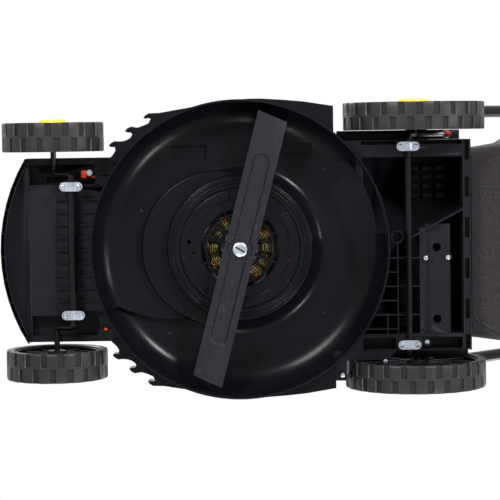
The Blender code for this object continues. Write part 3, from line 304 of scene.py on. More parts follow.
@dataclass(frozen=True)
class EnamelledSteel(Look):
    """Black enamel on steel, with orange peel and worn, slightly brighter spots."""

    colour: Triple
    worn: Triple
    roughness: float
    wear: float

    def dress(self, skin: Surface) -> None:
        """Sets the shader's sockets.

        Args:
            skin: The material.
        """
        scuffs = skin.noise(38.0, 5.0, (1.0, 0.35, 1.0)).ramp(0.56, 0.74) * self.wear
        skin.set(Base_Color=skin.tint(self.colour, self.worn, scuffs), Metallic=scuffs * 0.6,
                 Roughness=self.roughness + (skin.noise(16.0, 3.0) - 0.5) * 0.14 + scuffs * 0.08,
                 Specular_IOR_Level=0.14)
        skin.bump(skin.noise(340.0, 2.0), 0.00012)


@dataclass(frozen=True)
class BladeSteel(Look):
    """Dark painted spring steel with lengthwise rolling marks and small scuffs."""

    colour: Triple
    scuff: Triple

    def dress(self, skin: Surface) -> None:
        """Sets the shader's sockets.

        Args:
            skin: The material.
        """
        rolled = skin.noise(240.0, 3.0, (0.16, 1.0, 1.0))
        marks = skin.noise(70.0, 6.0).ramp(0.60, 0.78)
        skin.set(Base_Color=skin.tint(self.colour, self.scuff, marks * 0.5 + rolled * 0.2), Metallic=0.12,
                 Specular_IOR_Level=0.20, Roughness=0.30 + (rolled - 0.5) * 0.16 + marks * 0.10)
        skin.bump(rolled * 0.5 + skin.noise(900.0) * 0.5, 0.00006)


@dataclass(frozen=True)
class WindingWire(Look):
    """Enamelled copper wire, wound in tight turns and stained with varnish."""

    colour: Triple
    varnish: Triple

    def dress(self, skin: Surface) -> None:
        """Sets the shader's sockets.

        Args:
            skin: The material.
        """
        stain = skin.noise(90.0, 3.0)
        skin.set(Base_Color=skin.tint(self.colour, self.varnish, stain.ramp(0.35, 0.65)), Metallic=0.75,
                 Roughness=0.30 + stain * 0.25)
        skin.bump(skin.noise(700.0, 1.0, (1.0, 1.0, 0.2)), 0.0004)


@dataclass(frozen=True)
class BagCloth(Look):
    """Melange bag cloth: dark yarn with pale brown flecks, woven over the cloth's own map."""

    dark: Triple
    fleck: Triple
    threads: float

    def dress(self, skin: Surface) -> None:
        """Sets the shader's sockets.

        Args:
            skin: The material.
        """
        grid = skin.node("ShaderNodeUVMap", {"uv_map": "weave"}).outputs["UV"]
        turns = pi * 2 * self.threads
        warp, weft = (skin.signal("ShaderNodeSeparateXYZ", axis, inputs={"Vector": grid}) * turns for axis in "XY")
        weave = warp.maths("SINE") * weft.maths("SINE") * 0.5 + 0.5
        melange = skin.noise(620.0, 3.0, (1.0, 0.45, 1.0)).ramp(0.46, 0.66)
        patch = skin.noise(14.0, 2.0)
        skin.set(Base_Color=skin.tint(self.dark, self.fleck, melange * 0.75 + patch * 0.2), Roughness=0.92,
                 Specular_IOR_Level=0.2, Sheen_Weight=0.25, Sheen_Roughness=0.5)
        skin.bump(weave * 0.6 + melange * 0.4, 0.0005)


class Finish(Enum):
    """The finishes of the mower, each by its slot in the record."""

    DECK = MouldedPlastic("deck_plastic", (0.0035, 0.0035, 0.0050), 0.20, 1500.0, 0.00003, 0.065, 0.06)
    GRAINED = MouldedPlastic("grained_plastic", (0.0065, 0.0060, 0.0085), 0.32, 900.0, 0.00012, 0.095, 0.16)
    TYRE = TreadPlastic("tyre_plastic", (0.014, 0.0125, 0.0135), 0.40, 700.0, 0.00016, 0.22, 0.45)
    YELLOW = MouldedPlastic("yellow_plastic", (0.930, 0.530, 0.012), 0.34, 800.0, 0.00006, 0.45, 0.06)
    RED = MouldedPlastic("red_plastic", (0.640, 0.048, 0.010), 0.40, 800.0, 0.00006, 0.45, 0.10)
    GRIP = MouldedPlastic("soft_grip", (0.016, 0.016, 0.016), 0.80, 420.0, 0.00050, 0.25, 0.35)
    ENAMEL = EnamelledSteel("painted_steel", (0.004, 0.004, 0.005), (0.030, 0.030, 0.033), 0.19, 0.15)
    CORE = EnamelledSteel("core_steel", (0.060, 0.060, 0.068), (0.200, 0.190, 0.180), 0.46, 0.80)
    ZINC = PlatedSteel("zinc", (0.430, 0.465, 0.530), 0.24)
    BLADE = BladeSteel("blade_steel", (0.010, 0.009, 0.013), (0.036, 0.033, 0.044))
    COPPER = WindingWire("copper", (0.120, 0.098, 0.026), (0.034, 0.032, 0.014))
    CLOTH = BagCloth("bag_fabric", (0.0080, 0.0065, 0.0075), (0.0270, 0.0220, 0.0250), 420.0)

    @property
    def slot(self) -> str:
        """The record's name for this finish."""
        return self.value.name


@cache
def painted(finish: Finish) -> bpy.types.Material:
    """The material of a finish, made on first use."""
    return finish.value.build()


@dataclass
class Studio:
    """The camera at the photograph's angle, soft lamps, a pale floor and a white background."""

    eye: Triple = (0.197, 0.017, -3.220)
    aim: Triple = (-0.0013, 0.0168, BLADE_HEIGHT)
    roll: float = 0.0144
    lens: float = 140.0
    dim: float = 0.35
    floor_half: float = 4.5
    target: Triple = (0.0, 0.0, 0.15)
    lamps: tuple[tuple[str, Triple, float, float], ...] = (
        ("key_below", (1.35, 0.95, -1.55), 0.30, 56.0),
        ("side_below", (1.15, -1.20, -1.50), 0.55, 46.0),
        ("fill_below", (-1.50, -0.60, -1.60), 0.45, 14.0),
        ("kick_below", (-1.30, 0.85, -1.55), 0.30, 22.0),
        ("rim_below", (0.25, 1.95, -1.00), 0.30, 16.0),
        ("key_above", (1.70, -1.80, 2.60), 1.8, 60.0),
        ("fill_above", (-1.90, 1.30, 2.30), 2.0, 36.0),
    )

    def build(self) -> None:
        """Makes the whole studio."""
        self.build_camera()
        self.build_lamps()
        self.build_floor()
        self.build_world()
        bpy.context.scene.view_settings.view_transform = "Standard"
        LOG.info("studio: camera, %d lamps, floor and background", len(self.lamps))

    def build_camera(self) -> None:
        """Puts the camera below the mower, with the mower's left side up in the picture."""
        eye = in_frame(self.eye)
        forward = (in_frame(self.aim) - eye).normalized()
        right = forward.cross(Vector((cos(self.roll), sin(self.roll), 0))).normalized()
        up = right.cross(forward)
        data = bpy.data.cameras.new("photograph_view")
        data.lens = self.lens
        data.sensor_width = 36.0
        camera = shown("photograph_view", data)
        turn = Matrix((right, up, -forward)).transposed().to_4x4()
        camera.matrix_world = Matrix.Translation(eye) @ turn
        bpy.context.scene.camera = camera

    def build_lamps(self) -> None:
        """Hangs a large square lamp at each named place, turned to the mower's middle."""
        for name, spot, size, power in self.lamps:
            data = bpy.data.lights.new(name, "AREA")
            data.energy = power
            data.size = size
            lamp = shown(name, data)
            place = Vector(spot)
            turn = (Vector(self.target) - place).to_track_quat("-Z", "Y").to_matrix().to_4x4()
            lamp.matrix_world = Matrix.Translation(place) @ turn

    def build_floor(self) -> None:
        """Lays a pale floor that shows from above only, so that it never hides the underside."""
        mesh = bpy.data.meshes.new("studio_floor")
        mesh.from_pydata([(x * self.floor_half, y * self.floor_half, -0.001)
                          for x, y in ((-1, -1), (1, -1), (1, 1), (-1, 1))], [], [(0, 1, 2, 3)])
        floor = shown("studio_floor", mesh)
        floor.visible_shadow = False
        skin = Surface("pale_floor")
        skin.set(Base_Color=(0.86, 0.86, 0.86, 1), Roughness=0.85)
        clear = skin.node("ShaderNodeBsdfTransparent").outputs[0]
        side = skin.signal("ShaderNodeNewGeometry", "Backfacing")
        mirrored = skin.signal("ShaderNodeLightPath", "Is Glossy Ray")
        mixed = skin.node("ShaderNodeMixShader",
                          inputs={0: side.maths("MAXIMUM", mirrored), 1: skin.shader.outputs[0], 2: clear})
        skin.feed(skin.tree.nodes["Material Output"].inputs["Surface"], mixed.outputs[0])
        mesh.materials.append(skin.material)

    def build_world(self) -> None:
        """Makes the background white where it is seen, and a soft grey light elsewhere."""
        world = bpy.data.worlds.new("studio")
        world.use_nodes = True
        bpy.context.scene.world = world
        bench = Bench(world.node_tree)
        camera, glossy, through = (bench.signal("ShaderNodeLightPath", f"Is {kind} Ray")
                                   for kind in ("Camera", "Glossy", "Transmission"))
        shown = camera.maths("MAXIMUM", glossy).maths("MAXIMUM", through)
        back = bench.tree.nodes["Background"]
        bench.feed(back.inputs["Color"], (1, 1, 1, 1))
        bench.feed(back.inputs["Strength"], shown * (1 - self.dim) + self.dim)


def in_frame(point: Point) -> Vector:
    """A point given from the blade's axis, X to the mower's left and Y to its rear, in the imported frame."""
    return Vector((point[0], point[1] + AXIS_Y, point[2]))


def spot_at(column: float, row: float, height: float) -> Vector:
    """The place that a pixel of the 500 by 500 photograph shows, at a height above the ground.

    Args:
        column: The pixel's column.
        row: The pixel's row.
        height: The height of the surface that it lies on.

    Returns:
        The point, given from the blade's axis.
    """
    eye, tilt = Studio.eye, Studio.roll
    across, down = column - BLADE_AT[0], row - BLADE_AT[1]
    x = (-across * tilt - down) * PIXEL
    y = (across - down * tilt) * PIXEL
    reach = (height - eye[2]) / (BLADE_HEIGHT - eye[2])
    return Vector((eye[0] + (x - eye[0]) * reach, eye[1] + (y - eye[1]) * reach, height))


class Body(Enum):
    """The bodies that the pieces ride on."""

    DECK = "deck"
    BLADE = "blade_assembly"
    FRONT_AXLE = "front_axle"
    BAG = "grass_bag"
    LOWER_HANDLE = "lower_handle"
    UPPER_HANDLE = "upper_handle_loop"
    LEFT_KNOB = "left_knob"
    RIGHT_KNOB = "right_knob"
    FRONT_LEFT_WHEEL = "front_left_wheel_set"
    FRONT_RIGHT_WHEEL = "front_right_wheel_set"
    REAR_LEFT_WHEEL = "rear_left_wheel_set"
    REAR_RIGHT_WHEEL = "rear_right_wheel_set"


def prism(outline: Outline, low: float, high: float, bevel: float = 0.0) -> Mesh:
    """An outline in X and Y, raised from one height to another.

    Args:
        outline: The corners, in order.
        low: The lower height.
        high: The upper height.
        bevel: The width of the rounded edges.

    Returns:
        A closed mesh.
    """
    bm = bmesh.new()
    base = bm.faces.new([bm.verts.new((x, y, low)) for x, y in outline])
    raised = bmesh.ops.extrude_face_region(bm, geom=[base])["geom"]
    bmesh.ops.translate(bm, vec=(0, 0, high - low), verts=[v for v in raised if isinstance(v, bmesh.types.BMVert)])
    bmesh.ops.recalc_face_normals(bm, faces=bm.faces)
    if bevel:
        sharp = [edge for edge in bm.edges if edge.calc_face_angle(0) > BEVELLED_FROM]
        bmesh.ops.bevel(bm, geom=sharp, offset=bevel, segments=2, profile=0.5, affect="EDGES", clamp_overlap=True)
    return mesh_of(bm, outward=False)


def bridge(bm: bmesh.types.BMesh, rings: Sequence[Sequence[bmesh.types.BMVert]], closed: bool = True,
           loops: bool = True) -> None:
    """Joins each row of corners to the next one by faces.

    Args:
        bm: The edit mesh.
        rings: The rows, in order.
        closed: Whether the last row is joined to the first one too.
        loops: Whether each row is a closed loop.
    """
    for now, after in zip(rings, rings[1:] + (rings[:1] if closed else [])):
        for k in range(len(now) if loops else len(now) - 1):
            far = (k + 1) % len(now)
            bm.faces.new((now[k], now[far], after[far], after[k]))


def mesh_of(bm: bmesh.types.BMesh, outward: bool = True) -> Mesh:
    """Turns an edit mesh into a plain one.

    Args:
        bm: The edit mesh, which is freed.
        outward: Whether its faces are turned outwards first.

    Returns:
        The plain mesh.
    """
    if outward:
        bmesh.ops.recalc_face_normals(bm, faces=bm.faces)
    mesh = bpy.data.meshes.new("shape")
    bm.to_mesh(mesh)
    bm.free()
    return mesh


def turned(profile: Outline, steps: int) -> Mesh:
    """A closed profile of radius and height, turned round Z.

    Args:
        profile: The corners, in order.
        steps: The number of steps round the axis.

    Returns:
        A closed mesh.
    """
    bm = bmesh.new()
    rings = []
    for k in range(steps):
        angle = 2 * pi * k / steps
        rings.append([bm.verts.new((r * cos(angle), r * sin(angle), z)) for r, z in profile])
    count = len(profile)
    for ring, after in zip(rings, rings[1:] + rings[:1]):
        for k in range(count):
            if profile[k][0] > 0 or profile[(k + 1) % count][0] > 0:
                bm.faces.new((ring[k], ring[(k + 1) % count], after[(k + 1) % count], after[k]))
    bmesh.ops.remove_doubles(bm, verts=bm.verts, dist=1e-6)
    return mesh_of(bm)


def tube(path: Sequence[Point], radius: float, sides: int = 12) -> Mesh:
    """A round bar along a path, with closed ends.

    Args:
        path: The points of its middle line.
        radius: Its radius.
        sides: The sides of its section.

    Returns:
        A closed mesh.
    """
    points = [Vector(p) for p in path]
    bm = bmesh.new()
    across = None
    rings = []
    for k, point in enumerate(points):
        along = (points[min(k + 1, len(points) - 1)] - points[max(k - 1, 0)]).normalized()
        if across is None:
            across = along.orthogonal().normalized()
        across = (across - along * across.dot(along)).normalized()
        up = along.cross(across)
        rings.append([bm.verts.new(point + (across * cos(a) + up * sin(a)) * radius)
                      for a in (2 * pi * s / sides for s in range(sides))])
    bridge(bm, rings, closed=False)
    bm.faces.new(rings[0])
    bm.faces.new(rings[-1])
    return mesh_of(bm)


def rounded(corners: Sequence[Point], steps: int = 5) -> list[Span]:
    """A chain of corners with some of them rounded.

    Args:
        corners: Each corner's two coordinates and, where it is rounded, the length cut off on both sides of it.
        steps: The pieces of each rounding.

    Returns:
        The finer chain.
    """
    chain: list[Span] = []
    for k, corner in enumerate(corners):
        spot = Vector(corner[:2])
        if len(corner) < 3:
            chain.append(tuple(spot))
            continue
        before = spot + (Vector(corners[k - 1][:2]) - spot).normalized() * corner[2]
        after = spot + (Vector(corners[k + 1][:2]) - spot).normalized() * corner[2]
        for step in range(steps + 1):
            t = step / steps
            chain.append(tuple(before * (1 - t) ** 2 + spot * 2 * t * (1 - t) + after * t ** 2))
    return chain


def moved(mesh: Mesh, place: Matrix | Point) -> Mesh:
    """Moves a mesh in place.

    Args:
        mesh: The mesh.
        place: Where it goes, as a matrix or as a step.

    Returns:
        The same mesh.
    """
    matrix = place if isinstance(place, Matrix) else Matrix.Translation(place)
    mesh.transform(matrix)
    if matrix.determinant() < 0:
        mesh.flip_normals()
    return mesh


def packed_copy(node: str) -> Mesh:
    """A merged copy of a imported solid's mesh, which can be carved.

    Args:
        node: The solid's name.

    Returns:
        A closed mesh, given from the blade's axis.
    """
    source = frame["nodes"][node]
    bm = bmesh.new()
    bm.from_mesh(source.data)
    bm.transform(Matrix.Translation((0, -AXIS_Y, 0)) @ source.matrix_world)
    bmesh.ops.remove_doubles(bm, verts=bm.verts, dist=0.00001)
    return mesh_of(bm, outward=False)


def joined(meshes: Sequence[Mesh]) -> Mesh:
    """Puts several meshes into one.

    Args:
        meshes: The meshes, which are used up.

    Returns:
        One mesh.
    """
    bm = bmesh.new()
    for mesh in meshes:
        bm.from_mesh(mesh)
        bpy.data.meshes.remove(mesh)
    return mesh_of(bm, outward=False)


def shown(name: str, data: bpy.types.ID) -> bpy.types.Object:
    """Makes an object and puts it in the scene.

    Args:
        name: The object's name.
        data: Its mesh, lamp or camera.

    Returns:
        The object.
    """
    made = bpy.data.objects.new(name, data)
    bpy.context.scene.collection.objects.link(made)
    return made


def flattened(made: bpy.types.Object, helper: bpy.types.Object) -> Mesh:
    """Takes the plain mesh that an object's modifier makes.

    Args:
        made: The object, which is used up.
        helper: The object that its modifier reads, which is used up too.

    Returns:
        The plain mesh.
    """
    mesh = bpy.data.meshes.new_from_object(made.evaluated_get(bpy.context.evaluated_depsgraph_get()))
    for each in (made, helper):
        bpy.data.objects.remove(each)
    return mesh


def combined(mesh: Mesh, tools: Sequence[Mesh], operation: str) -> Mesh:
    """Joins other meshes to one, or cuts their space out of it.

    Args:
        mesh: The mesh that is kept.
        tools: The other meshes, which are used up.
        operation: UNION or DIFFERENCE.

    Returns:
        The mesh that is left.
    """
    for tool in tools:
        target, cutter = shown("target", mesh), shown("cutter", tool)
        knife = target.modifiers.new("cut", "BOOLEAN")
        knife.operation, knife.solver, knife.object = operation, "EXACT", cutter
        mesh = flattened(target, cutter)
    return mesh


def carved(mesh: Mesh, tools: Sequence[Mesh]) -> Mesh:
    """Cuts the space of other meshes out of one."""
    return combined(mesh, tools, "DIFFERENCE")


def block(low: Point, high: Point, bevel: float = 0.0) -> Mesh:
    """A closed block between its lowest and its highest corner, with rounded edges of a width."""
    outline = [(low[0], low[1]), (high[0], low[1]), (high[0], high[1]), (low[0], high[1])]
    return prism(outline, low[2], high[2], bevel)


def rod(radius: float, low: float, high: float, steps: int = 24) -> Mesh:
    """A closed round bar on the Z axis, between two heights, whose section has a number of sides."""
    return turned([(0, low), (radius, low), (radius, high), (0, high)], steps)


def along_x(spot: Point, outward: int) -> Matrix:
    """Turns a piece made round Z to the mower's left (1) or right (-1), with its foot on a spot."""
    return Matrix.Translation(spot) @ Matrix.Rotation(radians(90) * outward, 4, "Y")


def sector(inner: float, outer: float, start: float, end: float, steps: int = 8) -> list[Span]:
    """The outline of a piece of a ring.

    Args:
        inner: The inner radius.
        outer: The outer radius.
        start: The first angle, in degrees.
        end: The last angle, in degrees.
        steps: The steps along each arc.

    Returns:
        The corners, in order.
    """
    angles = [radians(start + (end - start) * k / steps) for k in range(steps + 1)]
    return ([(inner * cos(a), inner * sin(a)) for a in angles]
            + [(outer * cos(a), outer * sin(a)) for a in reversed(angles)])


def settle(name: str, mesh: Mesh, finish: Finish = Finish.GRAINED, body: Body = Body.DECK,
           stands_for: Sequence[str] = (), sharp: float = 34.0, bend: tuple[Body, Point, Point] | None = None) -> None:
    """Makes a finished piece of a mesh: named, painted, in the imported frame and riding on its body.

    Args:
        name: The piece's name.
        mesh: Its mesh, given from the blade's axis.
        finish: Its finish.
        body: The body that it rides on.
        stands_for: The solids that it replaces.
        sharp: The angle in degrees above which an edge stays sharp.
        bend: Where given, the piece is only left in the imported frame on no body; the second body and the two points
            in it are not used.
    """
    mesh.transform(Matrix.Translation((0, AXIS_Y, 0)))
    mesh.name = name
    mesh.materials.clear()
    mesh.materials.append(painted(finish))
    for face in mesh.polygons:
        face.material_index = 0
    mesh.shade_smooth()
    mesh.set_sharp_from_angle(angle=radians(sharp))
    piece = shown(name, mesh)
    if bend:
        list(map(in_frame, bend[1:]))
        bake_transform(piece)
    else:
        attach(piece, body.value)
    if stands_for:
        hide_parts(*stands_for)
    LOG.info("%s: %d faces on %s", name, len(mesh.polygons), body.value)


class Pattern(Bench):
    """A Geometry Nodes tree that places copies of one small shape, realised and painted."""

    title: str = "pattern"
    sizes: tuple[tuple[str, str], ...] = ()

    def __init__(self) -> None:
        """Builds the tree with its named inputs."""
        super().__init__(bpy.data.node_groups.new(self.title, "GeometryNodeTree"))
        self.names: dict[str, str] = {}
        for name, kind in (("Geometry", "Geometry"), ("Shape", "Object"), ("Finish", "Material"), *self.sizes):
            socket = self.tree.interface.new_socket(name=name, in_out="INPUT", socket_type="NodeSocket" + kind)
            self.names[name] = socket.identifier
        self.tree.interface.new_socket(name="Geometry", in_out="OUTPUT", socket_type="NodeSocketGeometry")
        self.given = self.node("NodeGroupInput").outputs
        shape = self.node("GeometryNodeObjectInfo", inputs={"Object": self.given["Shape"], "As Instance": True})
        points, turn = self.place()
        flow = self.node("GeometryNodeInstanceOnPoints", inputs={
            "Points": points, "Instance": shape.outputs["Geometry"], "Rotation": turn}).outputs[0]
        flow = self.node("GeometryNodeRealizeInstances", inputs={"Geometry": flow}).outputs[0]
        paint = {"Geometry": flow, "Material": self.given["Finish"]}
        flow = self.node("GeometryNodeSetMaterial", inputs=paint).outputs[0]
        self.node("NodeGroupOutput", inputs={"Geometry": flow})

    @classmethod
    @cache
    def ready(cls) -> "Pattern":
        """The tree, built on first use."""
        return cls()

    def place(self) -> tuple[Socket, Socket]:
        """The sockets of the copies' points and of their turns."""
        raise NotImplementedError

    def run(self, shape: Mesh, finish: Finish, base: Mesh | None = None, **sizes: object) -> Mesh:
        """Makes the copies.

        Args:
            shape: The mesh that is copied, which is used up.
            finish: The finish of the copies.
            base: The mesh that carries the points, where the pattern reads one.
            sizes: The tree's other inputs, by name.

        Returns:
            One plain mesh.
        """
        pattern, holder = shown("pattern_shape", shape), shown("pattern_holder", base or bpy.data.meshes.new("base"))
        modifier = holder.modifiers.new("pattern", "NODES")
        modifier.node_group = self.tree
        for name, value in {"Shape": pattern, "Finish": painted(finish), **sizes}.items():
            modifier[self.names[name]] = value
        return flattened(holder, pattern)


class RingPattern(Pattern):
    """Copies turned round Z: every copy lies Step after the one before, from Phase on."""

    title = "copies_round_an_axis"
    sizes = (("Count", "Int"), ("Phase", "Float"), ("Step", "Float"))

    def place(self) -> tuple[Socket, Socket]:
        """The sockets of the points, all on the axis, and of their turns."""
        points = self.node("GeometryNodePoints", inputs={"Count": self.given["Count"]})
        index = self.node("GeometryNodeInputIndex").outputs[0]
        angle = self.node("ShaderNodeMath", {"operation": "MULTIPLY_ADD"},
                          {0: index, 1: self.given["Step"], 2: self.given["Phase"]})
        turn = self.node("ShaderNodeCombineXYZ", inputs={"Z": angle.outputs[0]})
        return points.outputs[0], turn.outputs[0]

    @classmethod
    def round(cls, shape: Mesh, finish: Finish, count: int, phase: float = 0.0) -> Mesh:
        """Makes copies of a shape at even angles, the first of them at a phase in degrees, as one plain mesh."""
        return cls.ready().run(shape, finish, Count=count, Phase=radians(phase), Step=radians(360.0 / count))


class SpotPattern(Pattern):
    """Copies on the points of a mesh, each turned as its own attribute says."""

    title = "copies_on_spots"

    def place(self) -> tuple[Socket, Socket]:
        """The sockets of the mesh's points and of their turns."""
        turn = self.node("GeometryNodeInputNamedAttribute", {"data_type": "FLOAT_VECTOR"}, {"Name": "turn"})
        return self.given["Geometry"], turn.outputs[0]

    @classmethod
    def on(cls, shape: Mesh, finish: Finish, spots: Sequence[Point], turns: Sequence[float] = ()) -> Mesh:
        """Makes one copy on each spot.

        Args:
            shape: The mesh that is copied.
            finish: The finish of the copies.
            spots: Where they go.
            turns: The turn of each round Z, or none.

        Returns:
            One plain mesh.
        """
        base = bpy.data.meshes.new("spots")
        base.from_pydata([tuple(spot) for spot in spots], [], [])
        angles = base.attributes.new("turn", "FLOAT_VECTOR", "POINT")
        for item, turn in zip(angles.data, turns or [0.0] * len(spots)):
            item.vector = (0, 0, turn)
        return cls.ready().run(shape, finish, base)


def settle_spots(name: str, shape: Mesh, spots: Sequence[Point], finish: Finish = Finish.GRAINED,
                 body: Body = Body.DECK, turns: Sequence[float] = (), place: Matrix = Matrix.Identity(4)) -> None:
    """Settles copies of one shape on spots, each turned round Z, as one piece whose axes lie at a place."""
    settle(name, moved(SpotPattern.on(shape, finish, spots, turns), place), finish, body)


def screw_head(radius: float, height: float) -> Mesh:
    """A pan-headed cross screw whose head hangs down from Z = 0.

    Args:
        radius: The head's radius.
        height: The head's height.

    Returns:
        A closed mesh.
    """
    head = turned([(0, 0), (radius, 0), (radius, -height * 0.45), (radius * 0.82, -height * 0.85),
                   (radius * 0.5, -height), (0, -height)], 20)
    long, thin = radius * 0.62, radius * 0.13
    return carved(head, [block((-long, -thin, -height * 2), (long, thin, -height * 0.45)),
                         block((-thin, -long, -height * 2), (thin, long, -height * 0.5))])


@dataclass
class CuttingBowl:
    """The bowl seen from below: drum with its beads, volute step, skirts with hooked corners and the outlet."""

    steps: int = 192
    radius: float = 0.252
    wall: float = 0.0035
    roof: float = 0.125
    ceiling: float = 0.1215
    rim: float = 0.030
    shoulder: float = 0.035
    inner_arc: Span = (0.052, 0.044)
    arc_steps: int = 14
    ramp: float = 0.012
    ramp_turn: float = 0.56
    step_turn: float = 0.0022
    step_angles: Span = (215.5, 245.0)
    volute_spot: Span = (0.0, -0.037)
    skirt: Span = (0.060, 0.088)
    outlet: tuple[Point, Point] = ((0.020, 0.150, 0.045), (0.148, 0.262, 0.119))
    roof_marks: tuple[tuple[float, ...], ...] = ((189.5, 152.0, 0.030, 0.0125), (297.0, 148.3, 0.025, 0.0095))
    hooks: tuple[Span, ...] = (
        (108.2, 159.6), (113.3, 154.5), (115.8, 150.4), (115.3, 146.8), (111.2, 146.8), (109.2, 145.3),
        (111.6, 142.6), (114.8, 140.9), (119.4, 141.2), (124.0, 140.7), (128.2, 139.2), (131.2, 137.1),
        (132.7, 134.1), (131.2, 132.4), (127.8, 132.2), (125.3, 131.0), (127.7, 128.1), (131.1, 126.4),
        (137.8, 127.4), (144.9, 124.9), (149.0, 122.8), (151.0, 118.8), (149.2, 117.9), (145.6, 118.5),
        (143.7, 117.8), (145.9, 114.9), (149.0, 113.2), (160.0, 112.7))
    marks: tuple[Span, ...] = ((141, 211), (169, 335), (324, 169), (325, 314))

    def section(self) -> tuple[list[Span], list[Span]]:
        """The bowl's closed profile.

        Returns:
            Radius and height of each corner of its lower face, from the drum outwards, and of its rim and upper face.
        """
        drum = rounded([(0.1030, 0.0812), (0.1036, 0.0803), (0.1094, 0.0801, 0.0004), (0.1104, 0.0786, 0.0007),
                        (0.1116, 0.0786, 0.0006), (0.1124, 0.0802, 0.0005), (0.1148, 0.0803, 0.0005),
                        (0.1158, 0.0784, 0.0008), (0.1178, 0.0784, 0.0008), (0.1189, 0.0803, 0.0006),
                        (0.1228, 0.0806, 0.0024), (0.1291, self.ceiling, 0.0290), (0.1800, self.ceiling),
                        (0.1900, self.ceiling)], 9)
        inside = self.radius - self.wall
        turns = [pi / 2 * k / self.arc_steps for k in range(self.arc_steps + 1)]
        inner = [(inside + self.inner_arc[0] * (sin(a) - 1),
                  self.ceiling + self.inner_arc[1] * (cos(a) - 1)) for a in turns]
        centre = (self.radius - self.shoulder, self.roof - self.shoulder)
        outer = [(centre[0] + self.shoulder * sin(a), centre[1] + self.shoulder * cos(a)) for a in turns]
        edge = [(inside, self.rim + 0.0008), (inside + 0.0008, self.rim), (self.radius - 0.0008, self.rim),
                (self.radius, self.rim + 0.0008)]
        crown = [(0.1282, self.roof), (0.1266, 0.1240), (0.1196, 0.0852), (0.1184, 0.0840), (0.1030, 0.0840)]
        return drum + inner, edge + outer[::-1] + crown

    def twist(self, radius: float) -> float:
        """The angle of the ramp's step at a radius, since the step crosses the bowl aslant."""
        share = max(0.0, min(1.0, (radius - 0.144) / 0.087))
        return radians(self.step_angles[0] + (self.step_angles[1] - self.step_angles[0]) * share)

    def drop(self, radius: float, turn: float) -> float:
        """How far the spiral roof hangs down at a radius, some turns past the step."""
        ease = max(0.0, min(1.0, (radius - 0.128) / 0.028))
        return self.ramp * ease * ease * (3 - 2 * ease) * max(0.0, 1 - turn / self.ramp_turn)

    def shell(self) -> Mesh:
        """The bowl with its spiral roof, which steps up where the spiral ends.

        Returns:
            A closed mesh.
        """
        lower, upper = self.section()
        bm = bmesh.new()
        rings = []
        for turn in [k / self.steps for k in range(self.steps)] + [1 - self.step_turn]:
            ring = []
            for k, (r, z) in enumerate(lower + upper):
                angle = self.twist(r) + 2 * pi * turn
                low = self.drop(r, turn if turn < 0.99 else 1.0) if k < len(lower) else 0.0
                ring.append(bm.verts.new((r * cos(angle), r * sin(angle), z - low)))
            rings.append(ring)
        bridge(bm, rings)
        return mesh_of(bm)

    def skirt_shape(self, side: int) -> Mesh:
        """One side skirt with the curved hooks at its front corner.

        Args:
            side: 1 for the left, -1 for the right.

        Returns:
            A closed mesh.
        """
        outline = [(0.146, -0.200), *(spot_at(*spot, 0.074).xy for spot in self.hooks)]
        outline += [(0.2435, -0.059), (0.250, -0.020), (0.253, 0.017), (0.253, 0.037), (0.2505, 0.075),
                    (0.247, 0.111), (0.239, 0.160), (0.195, 0.160), (0.150, 0.190)]
        return prism([(side * x, y) for x, y in outline], *self.skirt)

    def build(self) -> None:
        """Makes the bowl and its moulding marks."""
        step = turned(rounded([(0, 0.0980), (0.1308, 0.0980, 0.0026), (0.1350, self.ceiling, 0.0030),
                               (0.1400, self.ceiling), (0.1400, 0.1230), (0, 0.1230)]), self.steps)
        step = moved(step, (*self.volute_spot, 0))
        step = carved(step, [rod(0.1236, 0.0, 0.2, self.steps)])
        bowl = combined(self.shell(), [step], "UNION")
        for side in (1, -1):
            skirt = carved(self.skirt_shape(side), [rod(self.radius - self.wall / 2, 0.0, 0.3, self.steps)])
            bowl = combined(bowl, [skirt], "UNION")
        tools = [block(*self.outlet)]
        for column, row, wide, high in self.roof_marks:
            spot = spot_at(column, row, self.ceiling)
            tools.append(block((spot.x - high, spot.y - wide, 0.110), (spot.x + high, spot.y + wide, 0.1228)))
        settle("deck_bowl_shell", carved(bowl, tools), Finish.DECK, Body.DECK, ["deck_bowl"], 26)
        dot = turned([(0, 0.0), (0.0016, 0.0), (0.0028, 0.0005), (0.0036, 0.0014), (0, 0.0014)], 20)
        spots = [spot_at(column, row, 0.1212) for column, row in self.marks]
        for spot in spots:
            reach = hypot(spot.x, spot.y)
            spot.z -= 0.0006 + self.drop(reach, (atan2(spot.y, spot.x) - self.twist(reach)) / 2 / pi % 1)
        settle_spots("bowl_gate_marks", dot, spots)


